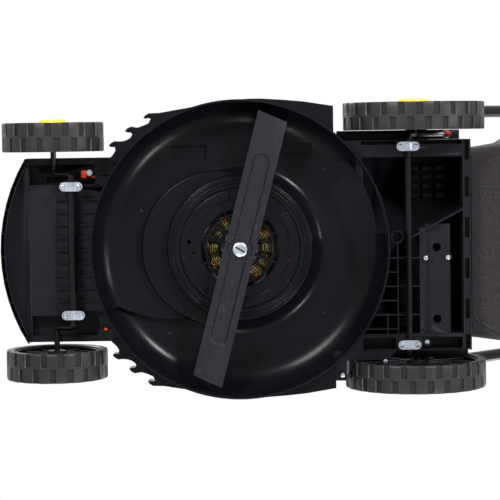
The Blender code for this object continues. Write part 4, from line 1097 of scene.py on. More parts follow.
@dataclass
class Motor:
    """The motor seen through the deck: plate with pads, holes and vent, bearing, and the wound coils."""

    low: float = 0.081
    bore: float = 0.103
    ledge: float = 0.009
    thickness: float = 0.003
    vent_outer: float = 0.0665
    ring: Span = (0.0560, 0.0596)
    bearing: Span = (0.0084, 0.0146)
    pads: tuple[Span, ...] = ((219, 262), (52, 85), (97, 127), (143, 180), (308, 350))
    holes: tuple[Triple, ...] = ((189.0, 242.0, 0.0036), (193.6, 252.5, 0.0029),
                                 (286.0, 251.0, 0.0021), (291.5, 261.4, 0.0062))
    coils: int = 12
    strands: int = 6
    bends: int = 14

    def build(self) -> None:
        """Makes the plate and everything that shows in its window."""
        self.build_plate()
        self.build_coils()

    def build_plate(self) -> None:
        """Makes the plate with its bevelled pads, holes, slots and bearing arms."""
        low, seat = self.low, self.low + self.thickness + 0.0003
        high = seat + self.thickness
        edge = self.bore - 0.0009
        plate = turned([(self.vent_outer, low + 0.0006), (self.vent_outer + 0.0006, low), (edge - 0.0007, low),
                        (edge, low + 0.0007), (edge, seat), (self.bore + self.ledge, seat),
                        (self.bore + self.ledge, high), (self.vent_outer, high)], 144)
        tools = []
        for column, row, radius in self.holes:
            spot = spot_at(column, row, low)
            tools.append(moved(rod(radius, low - 0.01, high + 0.01), (spot.x, spot.y, 0)))
        plate = carved(plate, tools)
        pads = [prism(sector(0.0850, 0.1004, start, end, 16), low - 0.0030, low + 0.0008, 0.0012)
                for start, end in self.pads]
        ring = turned([(self.ring[0], low + 0.0004), (self.ring[0] + 0.0004, low), (self.ring[1] - 0.0004, low),
                       (self.ring[1], low + 0.0004), (self.ring[1], high), (self.ring[0], high)], 96)
        web = block((self.ring[1] - 0.001, -0.0015, low + 0.0005), (self.vent_outer + 0.001, 0.0015, high - 0.0005),
                    0.0004)
        arm = block((self.bearing[0] + 0.003, -0.003, low + 0.0012), (self.ring[0] + 0.002, 0.003, high - 0.0006),
                    0.0006)
        webs, arms = (RingPattern.round(bar, Finish.DECK, count, 22.5) for bar, count in ((web, 8), (arm, 4)))
        hub = turned([(self.bearing[0], low), (self.bearing[1] - 0.0006, low), (self.bearing[1], low + 0.0006),
                      (self.bearing[1], high), (self.bearing[0], high)], 48)
        settle("motor_plate_face", joined([plate, *pads, ring, webs, arms, hub]), Finish.DECK, Body.DECK,
               ["motor_plate"])
        spot = spot_at(*self.holes[-1][:2], low)
        plug = moved(turned([(0, -0.0004), (0.0026, -0.0004), (0.0034, 0.0004), (0.0058, 0.0014), (0.0058, 0.0030),
                             (0, 0.0030)], 28), (spot.x, spot.y, low))
        settle("motor_plate_red_plug", plug, Finish.RED, Body.DECK)

    def build_coils(self) -> None:
        """Winds the stator's coils: bent bundles of wire, lashed together, in place of the plain ring."""
        step = 360.0 / self.coils
        wires = []
        for strand in range(self.strands):
            share = strand / (self.strands - 1)
            radius = 0.0392 + 0.0200 * share
            sweep = radians(step * (1.25 - 0.35 * abs(share - 0.5)))
            crest = 0.0915 + 0.0030 * abs(share - 0.5)
            path = []
            for k in range(self.bends + 1):
                along = k / self.bends * 2 - 1
                lift = abs(along) ** 2.6
                path.append((radius * cos(along * sweep / 2), radius * sin(along * sweep / 2),
                             crest + (0.1035 - crest) * lift))
            wires.append(tube(path, 0.0019, 8))
        coils = RingPattern.round(joined(wires), Finish.COPPER, self.coils)
        settle("motor_coils", coils, Finish.COPPER, Body.DECK, ["motor_windings"], 50)
        lash = tube([(0.0370, -0.0006, 0.1010), (0.0385, 0.0, 0.0893), (0.0500, 0.0004, 0.0882),
                     (0.0608, 0.0, 0.0900), (0.0622, 0.0006, 0.1010)], 0.0007, 6)
        settle("motor_coil_lashings", RingPattern.round(lash, Finish.ZINC, self.coils, step / 2), Finish.GRIP,
               Body.DECK)
        for name, finish, count, phase, radius in (("tags", Finish.ZINC, 5, 14.0, 0.0435),
                                                   ("sleeves", Finish.RED, 4, 61.0, 0.0530)):
            bit = tube([(radius, -0.0034, 0.0892), (radius + 0.0018, 0.0, 0.0876), (radius + 0.0004, 0.0036, 0.0892)],
                       0.0009, 8)
            settle("motor_lead_" + name, RingPattern.round(bit, finish, count, phase), finish, Body.DECK)
        face = turned([(0.0088, 0.1036), (0.0310, 0.1036), (0.0323, 0.1042), (0.0323, 0.1056), (0.0088, 0.1056)], 64)
        settle("motor_rotor_face", face, Finish.CORE, Body.BLADE)
        bars = block((0.0300, -0.0011, 0.1030), (0.0332, 0.0011, 0.1072), 0.0004)
        settle("motor_rotor_bars", RingPattern.round(bars, Finish.COPPER, 22), Finish.COPPER, Body.BLADE)


@dataclass
class BladeSet:
    """The pressed blade and its slotted bolt."""

    length: float = 0.461
    width: float = 0.052
    low: float = 0.0455
    thickness: float = 0.003
    turn: float = radians(14.6)
    slant: float = tan(radians(9.3))
    press: float = 0.0034
    channel: Span = (0.0118, 0.163)
    channel_wall: float = 0.0030
    dish: float = 0.0196
    dish_wall: float = 0.0022
    cutting_edge: Triple = (0.120, 0.0085, 0.0024)
    wing_start: float = 0.150
    wing_lift: float = 0.012
    bolt_radius: float = 0.0127
    bolt_height: float = 0.007
    cells: tuple[int, int] = (230, 56)

    def height(self, u: float, v: float) -> float:
        """How far the blade's middle surface stands above its lowest height.

        Args:
            u: The place along the blade.
            v: The place across it.

        Returns:
            The height.
        """
        across = v if u >= 0 else -v
        reach = hypot(max(0.0, abs(u) - self.channel[1] + self.channel[0]), v)
        trough = max(0.0, 1 - max(0.0, reach - self.channel[0]) / self.channel_wall)
        round_dish = max(0.0, 1 - max(0.0, hypot(u, v) - self.dish) / self.dish_wall)
        pressed = max(trough, round_dish)
        pressed = pressed * pressed * (3 - 2 * pressed)
        wing = max(0.0, (abs(u) - self.wing_start) / (self.length / 2 - self.wing_start))
        return self.press * pressed + self.wing_lift * wing * max(0.0, across - 0.004) / (self.width / 2)

    def point(self, u: float, v: float, upper: bool) -> Triple:
        """A point of the blade's skin.

        Args:
            u: The place along the blade.
            v: The place across it.
            upper: Whether it lies on the upper face.

        Returns:
            The point before the blade is turned.
        """
        across = v if u >= 0 else -v
        start, reach, depth = self.cutting_edge
        keen = max(0.0, 1 - (across + self.width / 2) / reach) if abs(u) > start else 0.0
        up = self.thickness - depth * keen if upper else 0.0
        return (u - abs(u) / (self.length / 2) * v * self.slant, v, self.low + self.height(u, v) + up)

    def build(self) -> None:
        """Makes the blade and its bolt."""
        half, edge = self.length / 2, self.width / 2
        rows = [-half + self.length * k / self.cells[0] for k in range(self.cells[0] + 1)]
        lines = [-edge, -edge + 0.0005, *(-edge + self.width * k / self.cells[1] for k in range(1, self.cells[1])),
                 edge - 0.0005, edge]
        bm = bmesh.new()
        under, over = ([[bm.verts.new(self.point(u, v, upper)) for v in lines] for u in rows]
                       for upper in (False, True))
        sides = [[[row[end] for row in skin] for skin in (under, over)] for end in (0, -1)]
        for skin in (under, over, *sides, *([under[end], over[end]] for end in (0, -1))):
            bridge(bm, skin, closed=False, loops=False)
        blade = carved(mesh_of(bm), [rod(0.0059, 0.0, 0.1, 32)])
        settle("blade_pressed", moved(blade, Matrix.Rotation(self.turn, 4, "Z")), Finish.BLADE, Body.BLADE,
               ["blade"], 24)
        top = self.low + self.press - 0.0021
        foot = top - self.bolt_height
        radius = self.bolt_radius
        bolt = turned([(0, top + 0.0146), (0.005, top + 0.0146), (0.005, top), (radius - 0.0012, top),
                       (radius, top - 0.0010), (radius, foot + 0.0030), (radius - 0.0010, foot + 0.0014),
                       (radius - 0.0035, foot + 0.0003), (radius * 0.35, foot), (0, foot)], 64)
        turn = Matrix.Rotation(radians(31), 4, "Z")
        slot = block((-0.0015, -0.0098, foot - 0.01), (0.0015, 0.0098, foot + 0.0042))
        settle("blade_bolt_slotted", carved(bolt, [moved(slot, turn)]), Finish.ZINC, Body.BLADE, ["blade_bolt"], 30)
        # painted shade: a dark block fills the slot's floor to stand for the shadow inside the slot
        shade_block = block((-0.0015, -0.0097, foot + 0.0014), (0.0015, 0.0097, foot + 0.0042))
        settle("blade_bolt_slot_soil", moved(shade_block, turn), Finish.GRIP, Body.BLADE)


@dataclass
class Wheel:
    """One wheel: a tyre with two staggered rows of pockets, a ribbed wheel and a yellow cap."""

    end: str
    side: str
    radius: float
    width: float
    inner_x: float
    lugs: int
    cap: float
    spot: Span
    depth: float = 0.003
    proud: float = 0.0055
    grid: tuple[float, ...] = (0.0, 0.07, 0.14, 0.155, 0.1775, 0.20, 0.22, 0.28, 0.30, 0.3225, 0.345, 0.36, 0.42,
                               0.50, 0.58, 0.64, 0.655, 0.6775, 0.70, 0.72, 0.78, 0.80, 0.8225, 0.845, 0.86, 0.93)

    @property
    def body(self) -> Body:
        """The wheel's own moving body."""
        return Body(f"{self.end}_{self.side}_wheel_set")

    @property
    def matrix(self) -> Matrix:
        """Where the wheel goes, from a shape made round Z with its outer side up."""
        outward = 1 if self.side == "left" else -1
        return along_x((outward * self.inner_x, *self.spot), outward)

    def tread(self, share: float, across: float) -> float:
        """How deep the tread is at a place.

        Args:
            share: The place round the tyre, in pitches.
            across: The place across it, from its inner side.

        Returns:
            A depth from zero to the tread's whole depth.
        """
        outer_row = across > self.width / 2
        place = (share + (0.5 if outer_row else 0.0)) % 1.0
        walls = min(place - 0.30, 0.70 - place) / 0.045
        middle = (abs(across - self.width / 2) - 0.0014) / 0.0009
        return self.depth * max(0.0, min(1.0, walls, middle))

    def tyre(self) -> Mesh:
        """The tyre's closed skin.

        Returns:
            A mesh round Z.
        """
        width, half = self.width, self.width / 2
        across = [0.0, 0.0010, 0.0030, half * 0.5, half - 0.0026, half - 0.0014, half - 0.0004, half + 0.0004,
                  half + 0.0014, half + 0.0026, half * 1.5, width - 0.0030, width - 0.0010, width]
        inner = self.radius - 0.014
        bm = bmesh.new()
        pocket = bm.verts.layers.float.new("pocket")
        rings = []
        for share in (lug + part for lug in range(self.lugs) for part in self.grid):
            angle = 2 * pi * share / self.lugs
            ring = []
            for place in across:
                side = max(0.0, 1 - min(place, width - place) / 0.0030)
                r = self.radius - 0.00003 - max(self.tread(share, place), 0.0012 * side * side)
                ring.append((r, place))
            ring += [(inner + 0.0022, width), (inner, width - 0.0014), (inner, 0.0014), (inner + 0.0022, 0.0)]
            rings.append([bm.verts.new((r * cos(angle), r * sin(angle), z)) for r, z in ring])
            # each corner's pocket depth, from which the tyre's material paints shade in the pockets and highlights on
            # their walls
            for corner, place in zip(rings[-1], across):
                corner[pocket] = self.tread(share, place) / self.depth
        bridge(bm, rings)
        return mesh_of(bm)

    def build(self) -> None:
        """Makes the wheel's three pieces."""
        name = f"{self.end}_{self.side}"
        width = self.width
        seat = self.radius - 0.0143
        barrel = seat - 0.004
        web_low, web_high = width - 0.022, width - 0.018
        disc = turned([(0.0057, 0.0026), (0.0063, 0.0020), (0.0154, 0.0020), (0.0160, 0.0026), (0.0168, web_low),
                       (barrel - 0.0005, web_low), (barrel, web_low - 0.0008), (barrel, 0.0036),
                       (barrel + 0.0006, 0.0030), (seat, 0.0030), (seat, width - 0.0030), (barrel, width - 0.0030),
                       (barrel - 0.0014, width - 0.0042), (barrel - 0.0050, web_high + 0.0010),
                       (barrel - 0.0075, web_high), (self.cap + 0.0140, web_high), (self.cap + 0.0120, width - 0.0080),
                       (self.cap + 0.0070, width - 0.0045), (self.cap + 0.0006, width - 0.0045),
                       (self.cap + 0.0006, web_high), (0.0057, web_high)], 96)
        rib = block((0.0150, -0.0011, 0.0060), (barrel + 0.0010, 0.0011, web_low + 0.0010))
        ribs = RingPattern.round(rib, Finish.GRAINED, 12)
        hoop_at = (barrel + 0.016) / 2
        hoop = turned([(hoop_at - 0.0011, 0.0080), (hoop_at + 0.0011, 0.0080), (hoop_at + 0.0011, web_low + 0.0010),
                       (hoop_at - 0.0011, web_low + 0.0010)], 72)
        cap, top = self.cap, width + self.proud
        cover = turned([(0, top - 0.0008), (cap * 0.30, top - 0.0008), (cap * 0.34, top), (cap * 0.62, top),
                        (cap * 0.66, top - 0.0012), (cap * 0.72, top - 0.0012), (cap * 0.76, top - 0.0002),
                        (cap - 0.0026, top - 0.0002), (cap - 0.0008, top - 0.0010), (cap, top - 0.0030),
                        (cap, web_high + 0.0003), (0, web_high + 0.0003)], 72)
        notch = block((cap * 0.80, -0.0016, top - 0.0012), (cap + 0.002, 0.0016, top + 0.002))
        for k in range(3):
            cover = carved(cover, [moved(notch.copy(), Matrix.Rotation(radians(120 * k), 4, "Z"))])
        for piece, mesh, finish, solid, sharp in (
                ("tread", self.tyre(), Finish.TYRE, "tyre", 32),
                ("wheel_disc", joined([disc, ribs, hoop]), Finish.GRAINED, "wheel", 34),
                ("cap", cover, Finish.YELLOW, "hub_cap", 34)):
            settle(f"{name}_{piece}", moved(mesh, self.matrix), finish, self.body, [f"{name}_{solid}"], sharp)


@dataclass
class RunningGear:
    """The four wheels, and the screws of the axle clamps."""

    front: Span = (-0.315, 0.086)
    rear: Span = (0.300, 0.121)
    front_shaft: Span = (-0.284, 0.068)
    rear_shaft: Span = (0.287, 0.083)
    clamp_pitch: float = 0.027
    clamp_drop: float = 0.0068

    def build(self) -> None:
        """Makes the wheels and screws."""
        for side in ("left", "right"):
            Wheel("front", side, 0.086, 0.049, 0.1685, 18, 0.022, self.front).build()
            Wheel("rear", side, 0.121, 0.047, 0.1970, 25, 0.0265, self.rear).build()
        spots, turns, saddles = [], [], []
        for x, shaft in ((0.109, self.front_shaft), (0.169, self.rear_shaft)):
            low = shaft[1] - self.clamp_drop
            for side in (1, -1):
                for step in (1, -1):
                    spots.append((side * x, shaft[0] + step * self.clamp_pitch / 2, low))
                    turns.append(0.7 * side + 0.9 * step)
                saddle = tube([(side * x + s * 0.0052, shaft[0], low + 0.0002) for s in (-1, 1)], 0.0056, 20)
                saddles.append(carved(saddle, [block((-0.4, -0.6, low + 0.0001), (0.4, 0.6, 0.3))]))
        settle_spots("axle_clamp_screws", screw_head(0.0042, 0.0026), spots, Finish.ZINC, turns=turns)
        flat = joined(saddles)
        for vertex in flat.vertices:
            shaft = self.front_shaft if vertex.co.y < 0 else self.rear_shaft
            low = shaft[1] - self.clamp_drop
            vertex.co.z = low + (vertex.co.z - low) * 0.28
        settle("axle_clamp_ridges", flat, Finish.ZINC, Body.DECK)
        sleeve = turned([(0.0053, -0.0995), (0.0064, -0.0995), (0.0070, -0.0989), (0.0070, 0.0989), (0.0064, 0.0995),
                         (0.0053, 0.0995)], 40)
        settle("front_shaft_sleeve", moved(sleeve, along_x((0, *self.front_shaft), 1)), Finish.ENAMEL,
               Body.FRONT_AXLE)


@dataclass
class Nose:
    """The nose with its channelled lip, the spring catch with its screw, and a red plug."""

    half_width: float = 0.157
    front: float = -0.405
    corner: float = -0.361
    lip_width: float = 0.008
    panel: float = 0.095
    lip_ribs: tuple[float, ...] = (-0.127, -0.0873, -0.0477, -0.008, 0.0316, 0.0713, 0.111)

    def build(self) -> None:
        """Makes the pieces."""
        rise = self.corner - self.front
        radius = (self.half_width ** 2 + rise ** 2) / (2 * rise)
        ribs = [degrees(asin(x / radius)) for x in self.lip_ribs]
        ends = [-30.4, *(angle + s * 0.13 for angle in ribs for s in (-1, 1)), 30.4]
        tools = []
        for start, end in zip(ends[::2], ends[1::2]):
            arc = sector(radius - self.lip_width + 0.0015, radius - 0.0015, 270 + start, 270 + end, 6)
            tools.append(prism([(x, y + self.front + radius) for x, y in arc], 0.0, self.panel - 0.0015))
        settle("front_nose_shell", carved(packed_copy("front_nose"), tools), Finish.GRAINED, Body.DECK,
               ["front_nose"], 12)
        self.build_catch()
        self.build_gussets()
        spot = spot_at(105.0, 329.5, self.panel)
        plug = moved(turned([(0, -0.0030), (0.0024, -0.0030), (0.0032, -0.0018), (0.0034, 0.0008), (0, 0.0008)], 24),
                     (spot.x, spot.y, self.panel - 0.0004))
        settle("nose_red_plug", plug, Finish.RED, Body.DECK)

    def build_catch(self) -> None:
        """Makes the orange-red spring catch in the left crank pocket, and the screw that holds it."""
        base = spot_at(83.5, 174.0, 0.1040)
        toe = spot_at(94.0, 177.0, 0.1040)
        foot = block((base.x - 0.0066, base.y - 0.0046, 0.1000), (base.x + 0.0066, base.y + 0.0040, 0.1210), 0.0012)
        arm = block((base.x - 0.0062, base.y + 0.0020, 0.1130), (base.x - 0.0014, toe.y + 0.0040, 0.1190), 0.0010)
        hook = block((toe.x - 0.0016, toe.y - 0.0044, 0.1030), (toe.x + 0.0020, toe.y + 0.0036, 0.1180), 0.0008)
        settle("height_spring_catch", joined([foot, arm, hook]), Finish.RED, Body.DECK)
        spot = spot_at(89.0, 172.5, 0.1060)
        shank = turned([(0, -0.0010), (0.0036, -0.0004), (0.0040, 0.0018), (0.0026, 0.0026), (0.0020, 0.0044),
                        (0.0020, 0.0150), (0, 0.0150)], 24)
        washer = turned([(0.0021, 0.0032), (0.0052, 0.0032), (0.0052, 0.0040), (0.0021, 0.0040)], 28)
        screw = moved(joined([shank, washer]), (spot.x, spot.y, 0.1050))
        settle("height_spring_screw", screw, Finish.ZINC, Body.DECK)

    def build_gussets(self) -> None:
        """Adds low cross ridges on both sides of the shaft's trough, as the moulding has."""
        ridge = block((-0.0900, -0.0008, -0.0016), (0.0900, 0.0008, 0.0006), 0.0003)
        rows = [(0.0, y, self.panel) for y in (-0.3140, -0.2730)]
        settle_spots("nose_trough_edges", ridge, rows)
        mark = turned([(0, -0.0008), (0.0022, -0.0008), (0.0030, -0.0002), (0.0036, 0.0006), (0, 0.0006)], 20)
        marks = [spot_at(column, row, self.panel) for column, row in ((62.5, 253.5), (84.5, 216.5))]
        settle_spots("nose_gate_marks", mark, marks)


@dataclass
class LeverGaiter:
    """A pleated rubber gaiter that closes the front lever's slot, leaning the way the lever stands."""

    shaft: Span = (-0.284, 0.068)
    x: float = 0.1195
    foot: Span = (0.0085, 0.0530)
    neck: Span = (0.0036, 0.0085)
    floor: float = 0.1317
    reach: float = 0.098
    lean: float = radians(30)
    steps: int = 30
    corners: int = 36

    def ring(self, share: float, inset: float) -> list[Vector]:
        """One loop of the gaiter.

        Args:
            share: Its place from the foot to the neck.
            inset: How far it lies inside the outer skin.

        Returns:
            The loop's points.
        """
        lever = sum(end[1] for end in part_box("front_height_lever")) / 2 - AXIS_Y
        rest = copysign(self.lean, lever - self.shaft[0])
        low = Vector((self.x, self.shaft[0], self.floor))
        high = Vector((self.x, self.shaft[0] + self.reach * sin(rest),
                       self.shaft[1] + self.reach * cos(rest)))
        pleat = 0.0011 * sin(share * pi * 10) * min(1.0, 6 * share, 6 * (1 - share)) - inset
        half = [a + (b - a) * share ** 0.65 + pleat for a, b in zip(self.foot, self.neck)]
        loop = []
        for k in range(self.corners):
            angle = 2 * pi * k / self.corners
            across = [copysign(abs(part) ** 0.5, part) for part in (cos(angle), sin(angle))]
            loop.append(low.lerp(high, share) + Vector((half[0] * across[0], half[1] * across[1], 0)))
        return loop

    def build(self) -> None:
        """Makes the gaiter."""
        shares = [k / self.steps for k in range(self.steps + 1)]
        loops = [self.ring(share, 0.0) for share in shares] + [self.ring(share, 0.0007) for share in shares[::-1]]
        bm = bmesh.new()
        rings = [[bm.verts.new(point) for point in loop] for loop in loops]
        bridge(bm, rings)
        low, high = ((self.x, self.shaft[0], self.floor + up) for up in (0.001, 0.019))
        settle("front_lever_gaiter", mesh_of(bm), Finish.GRIP, Body.DECK, (), 60, (Body.FRONT_AXLE, low, high))


@dataclass
class RearFrame:
    """The rear frame with its pockets, and its small pieces: collared screws, pips, louvres, lips and side strips."""

    low: float = 0.0885
    strip_low: float = 0.0897
    screws: tuple[Triple, ...] = ((426.5, 257.9, 0.0897), (428.4, 343.0, 0.0897), (448.7, 257.3, 0.0985),
                                  (386.5, 362.5, 0.0845), (343.4, 376.3, 0.0845))
    pips: tuple[Span, ...] = ((421.8, 240.0), (423.5, 272.5), (424.2, 301.8), (424.3, 330.5))

    def build(self) -> None:
        """Makes the pieces."""
        spots, turns, collars = [], [], []
        for k, (column, row, height) in enumerate(self.screws):
            spot = spot_at(column, row, height)
            spots.append(spot - Vector((0, 0, 0.0002)))
            turns.append(0.4 + 0.8 * k)
            collar = turned([(0.0046, height - 0.0012), (0.0070, height - 0.0012), (0.0078, height - 0.0004),
                             (0.0078, height + 0.0130), (0.0046, height + 0.0130)], 32)
            collars.append(moved(collar, (spot.x, spot.y, 0)))
        settle_spots("rear_screws", screw_head(0.0044, 0.0028), spots, Finish.ZINC, turns=turns)
        settle("rear_screw_collars", joined(collars))
        pip = turned([(0, -0.0014), (0.0016, -0.0014), (0.0024, -0.0006), (0.0026, 0.0006), (0, 0.0006)], 20)
        pips = [spot_at(column, row, self.strip_low) for column, row in self.pips]
        settle_spots("rear_strip_pips", pip, pips)
        slats = [(x, y, 0.2300 + (y - 0.302) * 0.137) for x in (0.0800 + 0.0165 * row for row in range(4))
                 for y in (0.3105 + 0.0235 * column for column in range(3))]
        slat = block((-0.0052, -0.0092, -0.0014), (0.0052, 0.0092, 0.0), 0.0005)
        settle_spots("duct_louvres", slat, slats)
        lips = []
        for left, right, near, far, hang in ((0.1530, 0.1560, 0.2100, 0.3780, 0.0010),
                                             (-0.1560, -0.1530, 0.2100, 0.3780, 0.0010),
                                             (-0.1780, 0.1780, 0.3915, 0.3938, 0.0012),
                                             (-0.1500, 0.1500, 0.3802, 0.3822, 0.0012)):
            lips.append(block((left, near, self.low - hang), (right, far, self.low + 0.0010), 0.0005))
        settle("rear_frame_lips", joined(lips))
        pockets = [block((x, y, 0.05), (x + wide, y + long, 0.1265)) for x, wide, y, long in
                   ((0.1722, 0.0063, 0.2080, 0.0580), (0.1722, 0.0063, 0.3080, 0.0700),
                    (-0.1776, 0.0200, 0.2080, 0.0560), (-0.1776, 0.0200, 0.3100, 0.0680))]
        settle("rear_frame_shell", carved(packed_copy("rear_frame"), pockets), Finish.GRAINED, Body.DECK,
               ["rear_frame"], 12)
        ear = prism([(-0.1790, 0.1570), (-0.2295, 0.1570), (-0.2295, 0.1790), (-0.1955, 0.1800), (-0.1945, 0.2520),
                     (-0.1790, 0.2640)], 0.0845, 0.0882)
        strips = [ear, block((-0.1964, 0.1680, 0.1280), (-0.1795, 0.3920, 0.1305), 0.0006),
                  block((0.1795, 0.1680, 0.1280), (0.1964, 0.2985, 0.1305), 0.0006),
                  block((0.1795, 0.2985, 0.2470), (0.1964, 0.3920, 0.2495), 0.0006)]
        settle("rear_side_strips", joined(strips))


@dataclass
class MotorHood:
    """The hood: a smooth turned shell with a parting groove, vents all round, a screen behind them and low ribs."""

    height: float = 0.268
    foot: float = 0.1253
    wall: float = 0.0035
    vents: int = 30

    def build(self) -> None:
        """Makes the hood."""
        top = self.height
        outer = [(0, top), (0.030, top - 0.0002), (0.045, top - 0.0012), (0.066, top - 0.0036),
                 (0.085, top - 0.0085), (0.099, top - 0.0150), (0.110, top - 0.0245), (0.1155, top - 0.0350),
                 (0.1240, top - 0.0560), (0.1330, 0.1950), (0.1410, 0.1850), (0.1500, 0.1785), (0.1640, 0.1710),
                 (0.1780, 0.1625), (0.1860, 0.1560), (0.1950, 0.1480), (0.1990, 0.1440), (0.2000, 0.1415),
                 (0.2000, 0.1330), (0.1990, 0.1325), (0.1990, 0.1310), (0.2000, 0.1305), (0.2000, self.foot)]
        inner = [(max(0.0, r - self.wall), z - self.wall * (1.0 if r < 0.12 else 0.75)) for r, z in outer[:-5]]
        inner += [(0.1965, 0.1330), (0.1965, self.foot)]
        shell = turned(outer + inner[::-1], 192)
        slit = block((0.1000, -0.0018, 0.2000), (0.1340, 0.0018, 0.2420))
        shell = carved(shell, [RingPattern.round(slit, Finish.GRAINED, self.vents)])
        settle("motor_hood_shell", shell, Finish.GRAINED, Body.DECK, ["motor_hood"], 30)
        screen = turned([(0.1155, 0.1960), (0.1165, 0.1960), (0.1075, 0.2440), (0.1065, 0.2440)], 96)
        settle("motor_hood_screen", screen, Finish.ENAMEL, Body.DECK)
        rib = block((0.1420, -0.0016, 0.0), (0.1930, 0.0016, 0.0028), 0.0008)
        for vertex in rib.vertices:
            vertex.co.z += 0.1845 - (vertex.co.x - 0.1420) * 0.655
        settle("motor_hood_ribs", RingPattern.round(rib, Finish.GRAINED, 12, 15))


@dataclass
class Handle:
    """The handle's small pieces: grip rings, the box's bead, ridges and screws, tube bands and plugs, knob caps."""

    pivot: Span = (0.3175, 0.270)
    angle: float = radians(45)
    lower_length: float = 0.440
    upper_length: float = 0.520
    lower_x: float = 0.229
    tube_radius: float = 0.011
    grip_radius: float = 0.0155
    grip_half: float = 0.125
    grip_rings: int = 34
    box: Span = (0.220, 0.330)

    @property
    def upper_x(self) -> float:
        """The upper tubes' distance from the middle."""
        return self.lower_x - 2 * self.tube_radius - 0.0003

    @property
    def elbow(self) -> Span:
        """The upper handle's hinge, in Y and Z."""
        return (self.pivot[0] + cos(self.angle) * self.lower_length,
                self.pivot[1] + sin(self.angle) * self.lower_length)

    def frame_of(self, x: float, spot: Span, distance: float) -> Matrix:
        """Axes on the handle: X to the left, Y up the tube and Z out of its upper side.

        Args:
            x: The place across the mower.
            spot: The hinge that the distance is measured from.
            distance: The distance up the handle.

        Returns:
            The matrix.
        """
        y = spot[0] + cos(self.angle) * distance
        z = spot[1] + sin(self.angle) * distance
        return Matrix.Translation((x, y, z)) @ Matrix.Rotation(self.angle, 4, "X")

    def build(self) -> None:
        """Makes the pieces."""
        self.build_grip()
        self.build_box()
        self.build_clips()
        self.build_knobs()

    def build_grip(self) -> None:
        """Makes the soft grip with its rings."""
        inner, outer, half = self.tube_radius + 0.0006, self.grip_radius, self.grip_half
        profile = [(inner, -half), (outer - 0.0015, -half), (outer, -half + 0.0015)]
        for k in range(self.grip_rings):
            at = -half + 0.012 + (2 * half - 0.024) * k / (self.grip_rings - 1)
            profile += [(outer, at - 0.0018), (outer - 0.0011, at - 0.0009), (outer - 0.0011, at + 0.0009),
                        (outer, at + 0.0018)]
        profile += [(outer, half - 0.0015), (outer - 0.0015, half), (inner, half)]
        bar = (self.elbow[0] + cos(self.angle) * self.upper_length,
               self.elbow[1] + sin(self.angle) * self.upper_length)
        grip = moved(turned(profile, 48), along_x((0, *bar), 1))
        settle("handle_grip_sleeve", grip, Finish.GRIP, Body.UPPER_HANDLE, ["handle_grip"], 30)

    def build_box(self) -> None:
        """Adds a parting bead, ridges, a button collar and screws to the switch box."""
        near, far = self.box
        place = self.frame_of(-self.upper_x, self.elbow, 0.0)
        place = place @ Matrix.Scale(-1, 4, (1, 0, 0)) @ Matrix.Translation((-0.008, 0, 0))
        wide = 0.036
        seam = [(-wide, near + 0.002), (wide - 0.012, near), (wide, near + 0.014), (wide, far - 0.014),
                (wide - 0.012, far), (-wide, far - 0.002)]
        bead = tube([(x, y, 0.0) for x, y in seam], 0.0009, 8)
        settle("switch_box_bead", moved(bead, place), Finish.GRAINED, Body.UPPER_HANDLE)
        ridge = block((-0.0120, -0.0010, 0.0), (0.0120, 0.0010, 0.0014), 0.0004)
        rows = [(0.018, near + 0.020 + 0.0046 * k, 0.0278) for k in range(7)]
        settle_spots("switch_box_ridges", ridge, rows, body=Body.UPPER_HANDLE, place=place)
        collar = turned([(0.0112, 0.0), (0.0150, 0.0), (0.0145, 0.0018), (0.0120, 0.0022), (0.0112, 0.0016)], 40)
        collar = moved(collar, place @ Matrix.Translation((-0.016, (near + far) / 2, 0.0279)))
        settle("safety_button_collar", collar, Finish.GRAINED, Body.UPPER_HANDLE)
        spots = [(x, y, -0.0279) for x in (-0.026, 0.026) for y in (near + 0.022, far - 0.022)]
        settle_spots("switch_box_screws", screw_head(0.0036, 0.0016), spots, Finish.ZINC, Body.UPPER_HANDLE,
                     place=place)

    def build_clips(self) -> None:
        """Adds bands on the tubes, and plugs in the ends of the lower ones."""
        band = turned([(self.tube_radius + 0.0001, -0.006), (self.tube_radius + 0.0014, -0.006),
                       (self.tube_radius + 0.0022, -0.004), (self.tube_radius + 0.0022, 0.004),
                       (self.tube_radius + 0.0014, 0.006), (self.tube_radius + 0.0001, 0.006)], 32)
        upright = Matrix.Rotation(radians(-90), 4, "X")
        plug = turned([(0, -0.001), (0.0090, -0.001), (0.0104, 0.0004), (0.0104, 0.0016), (0, 0.0016)], 32)
        for name, shape, x, hinge, distances, body in (
                ("upper_handle_bands", band, self.upper_x, self.elbow, (0.355, 0.405), Body.UPPER_HANDLE),
                ("lower_handle_bands", band, self.lower_x, self.pivot, (0.300,), Body.LOWER_HANDLE),
                ("lower_handle_plugs", plug, self.lower_x, self.pivot, (self.lower_length + 0.018,),
                 Body.LOWER_HANDLE)):
            copies = [moved(shape.copy(), self.frame_of(side * x, hinge, distance) @ upright)
                      for side in (1, -1) for distance in distances]
            settle(name, joined(copies), Finish.GRAINED, body)

    def build_knobs(self) -> None:
        """Adds a domed cap to each handle knob."""
        face = self.lower_x + self.tube_radius + 0.0003 + 0.0122
        cap = turned([(0, 0.0004), (0.0050, 0.0004), (0.0078, 0.0001), (0.0088, -0.0006), (0, -0.0006)], 40)
        for side, body in ((1, Body.LEFT_KNOB), (-1, Body.RIGHT_KNOB)):
            place = along_x((side * face, *self.elbow), side)
            name = "left" if side > 0 else "right"
            settle(name + "_knob_cap", moved(cap.copy(), place), Finish.GRAINED, body)


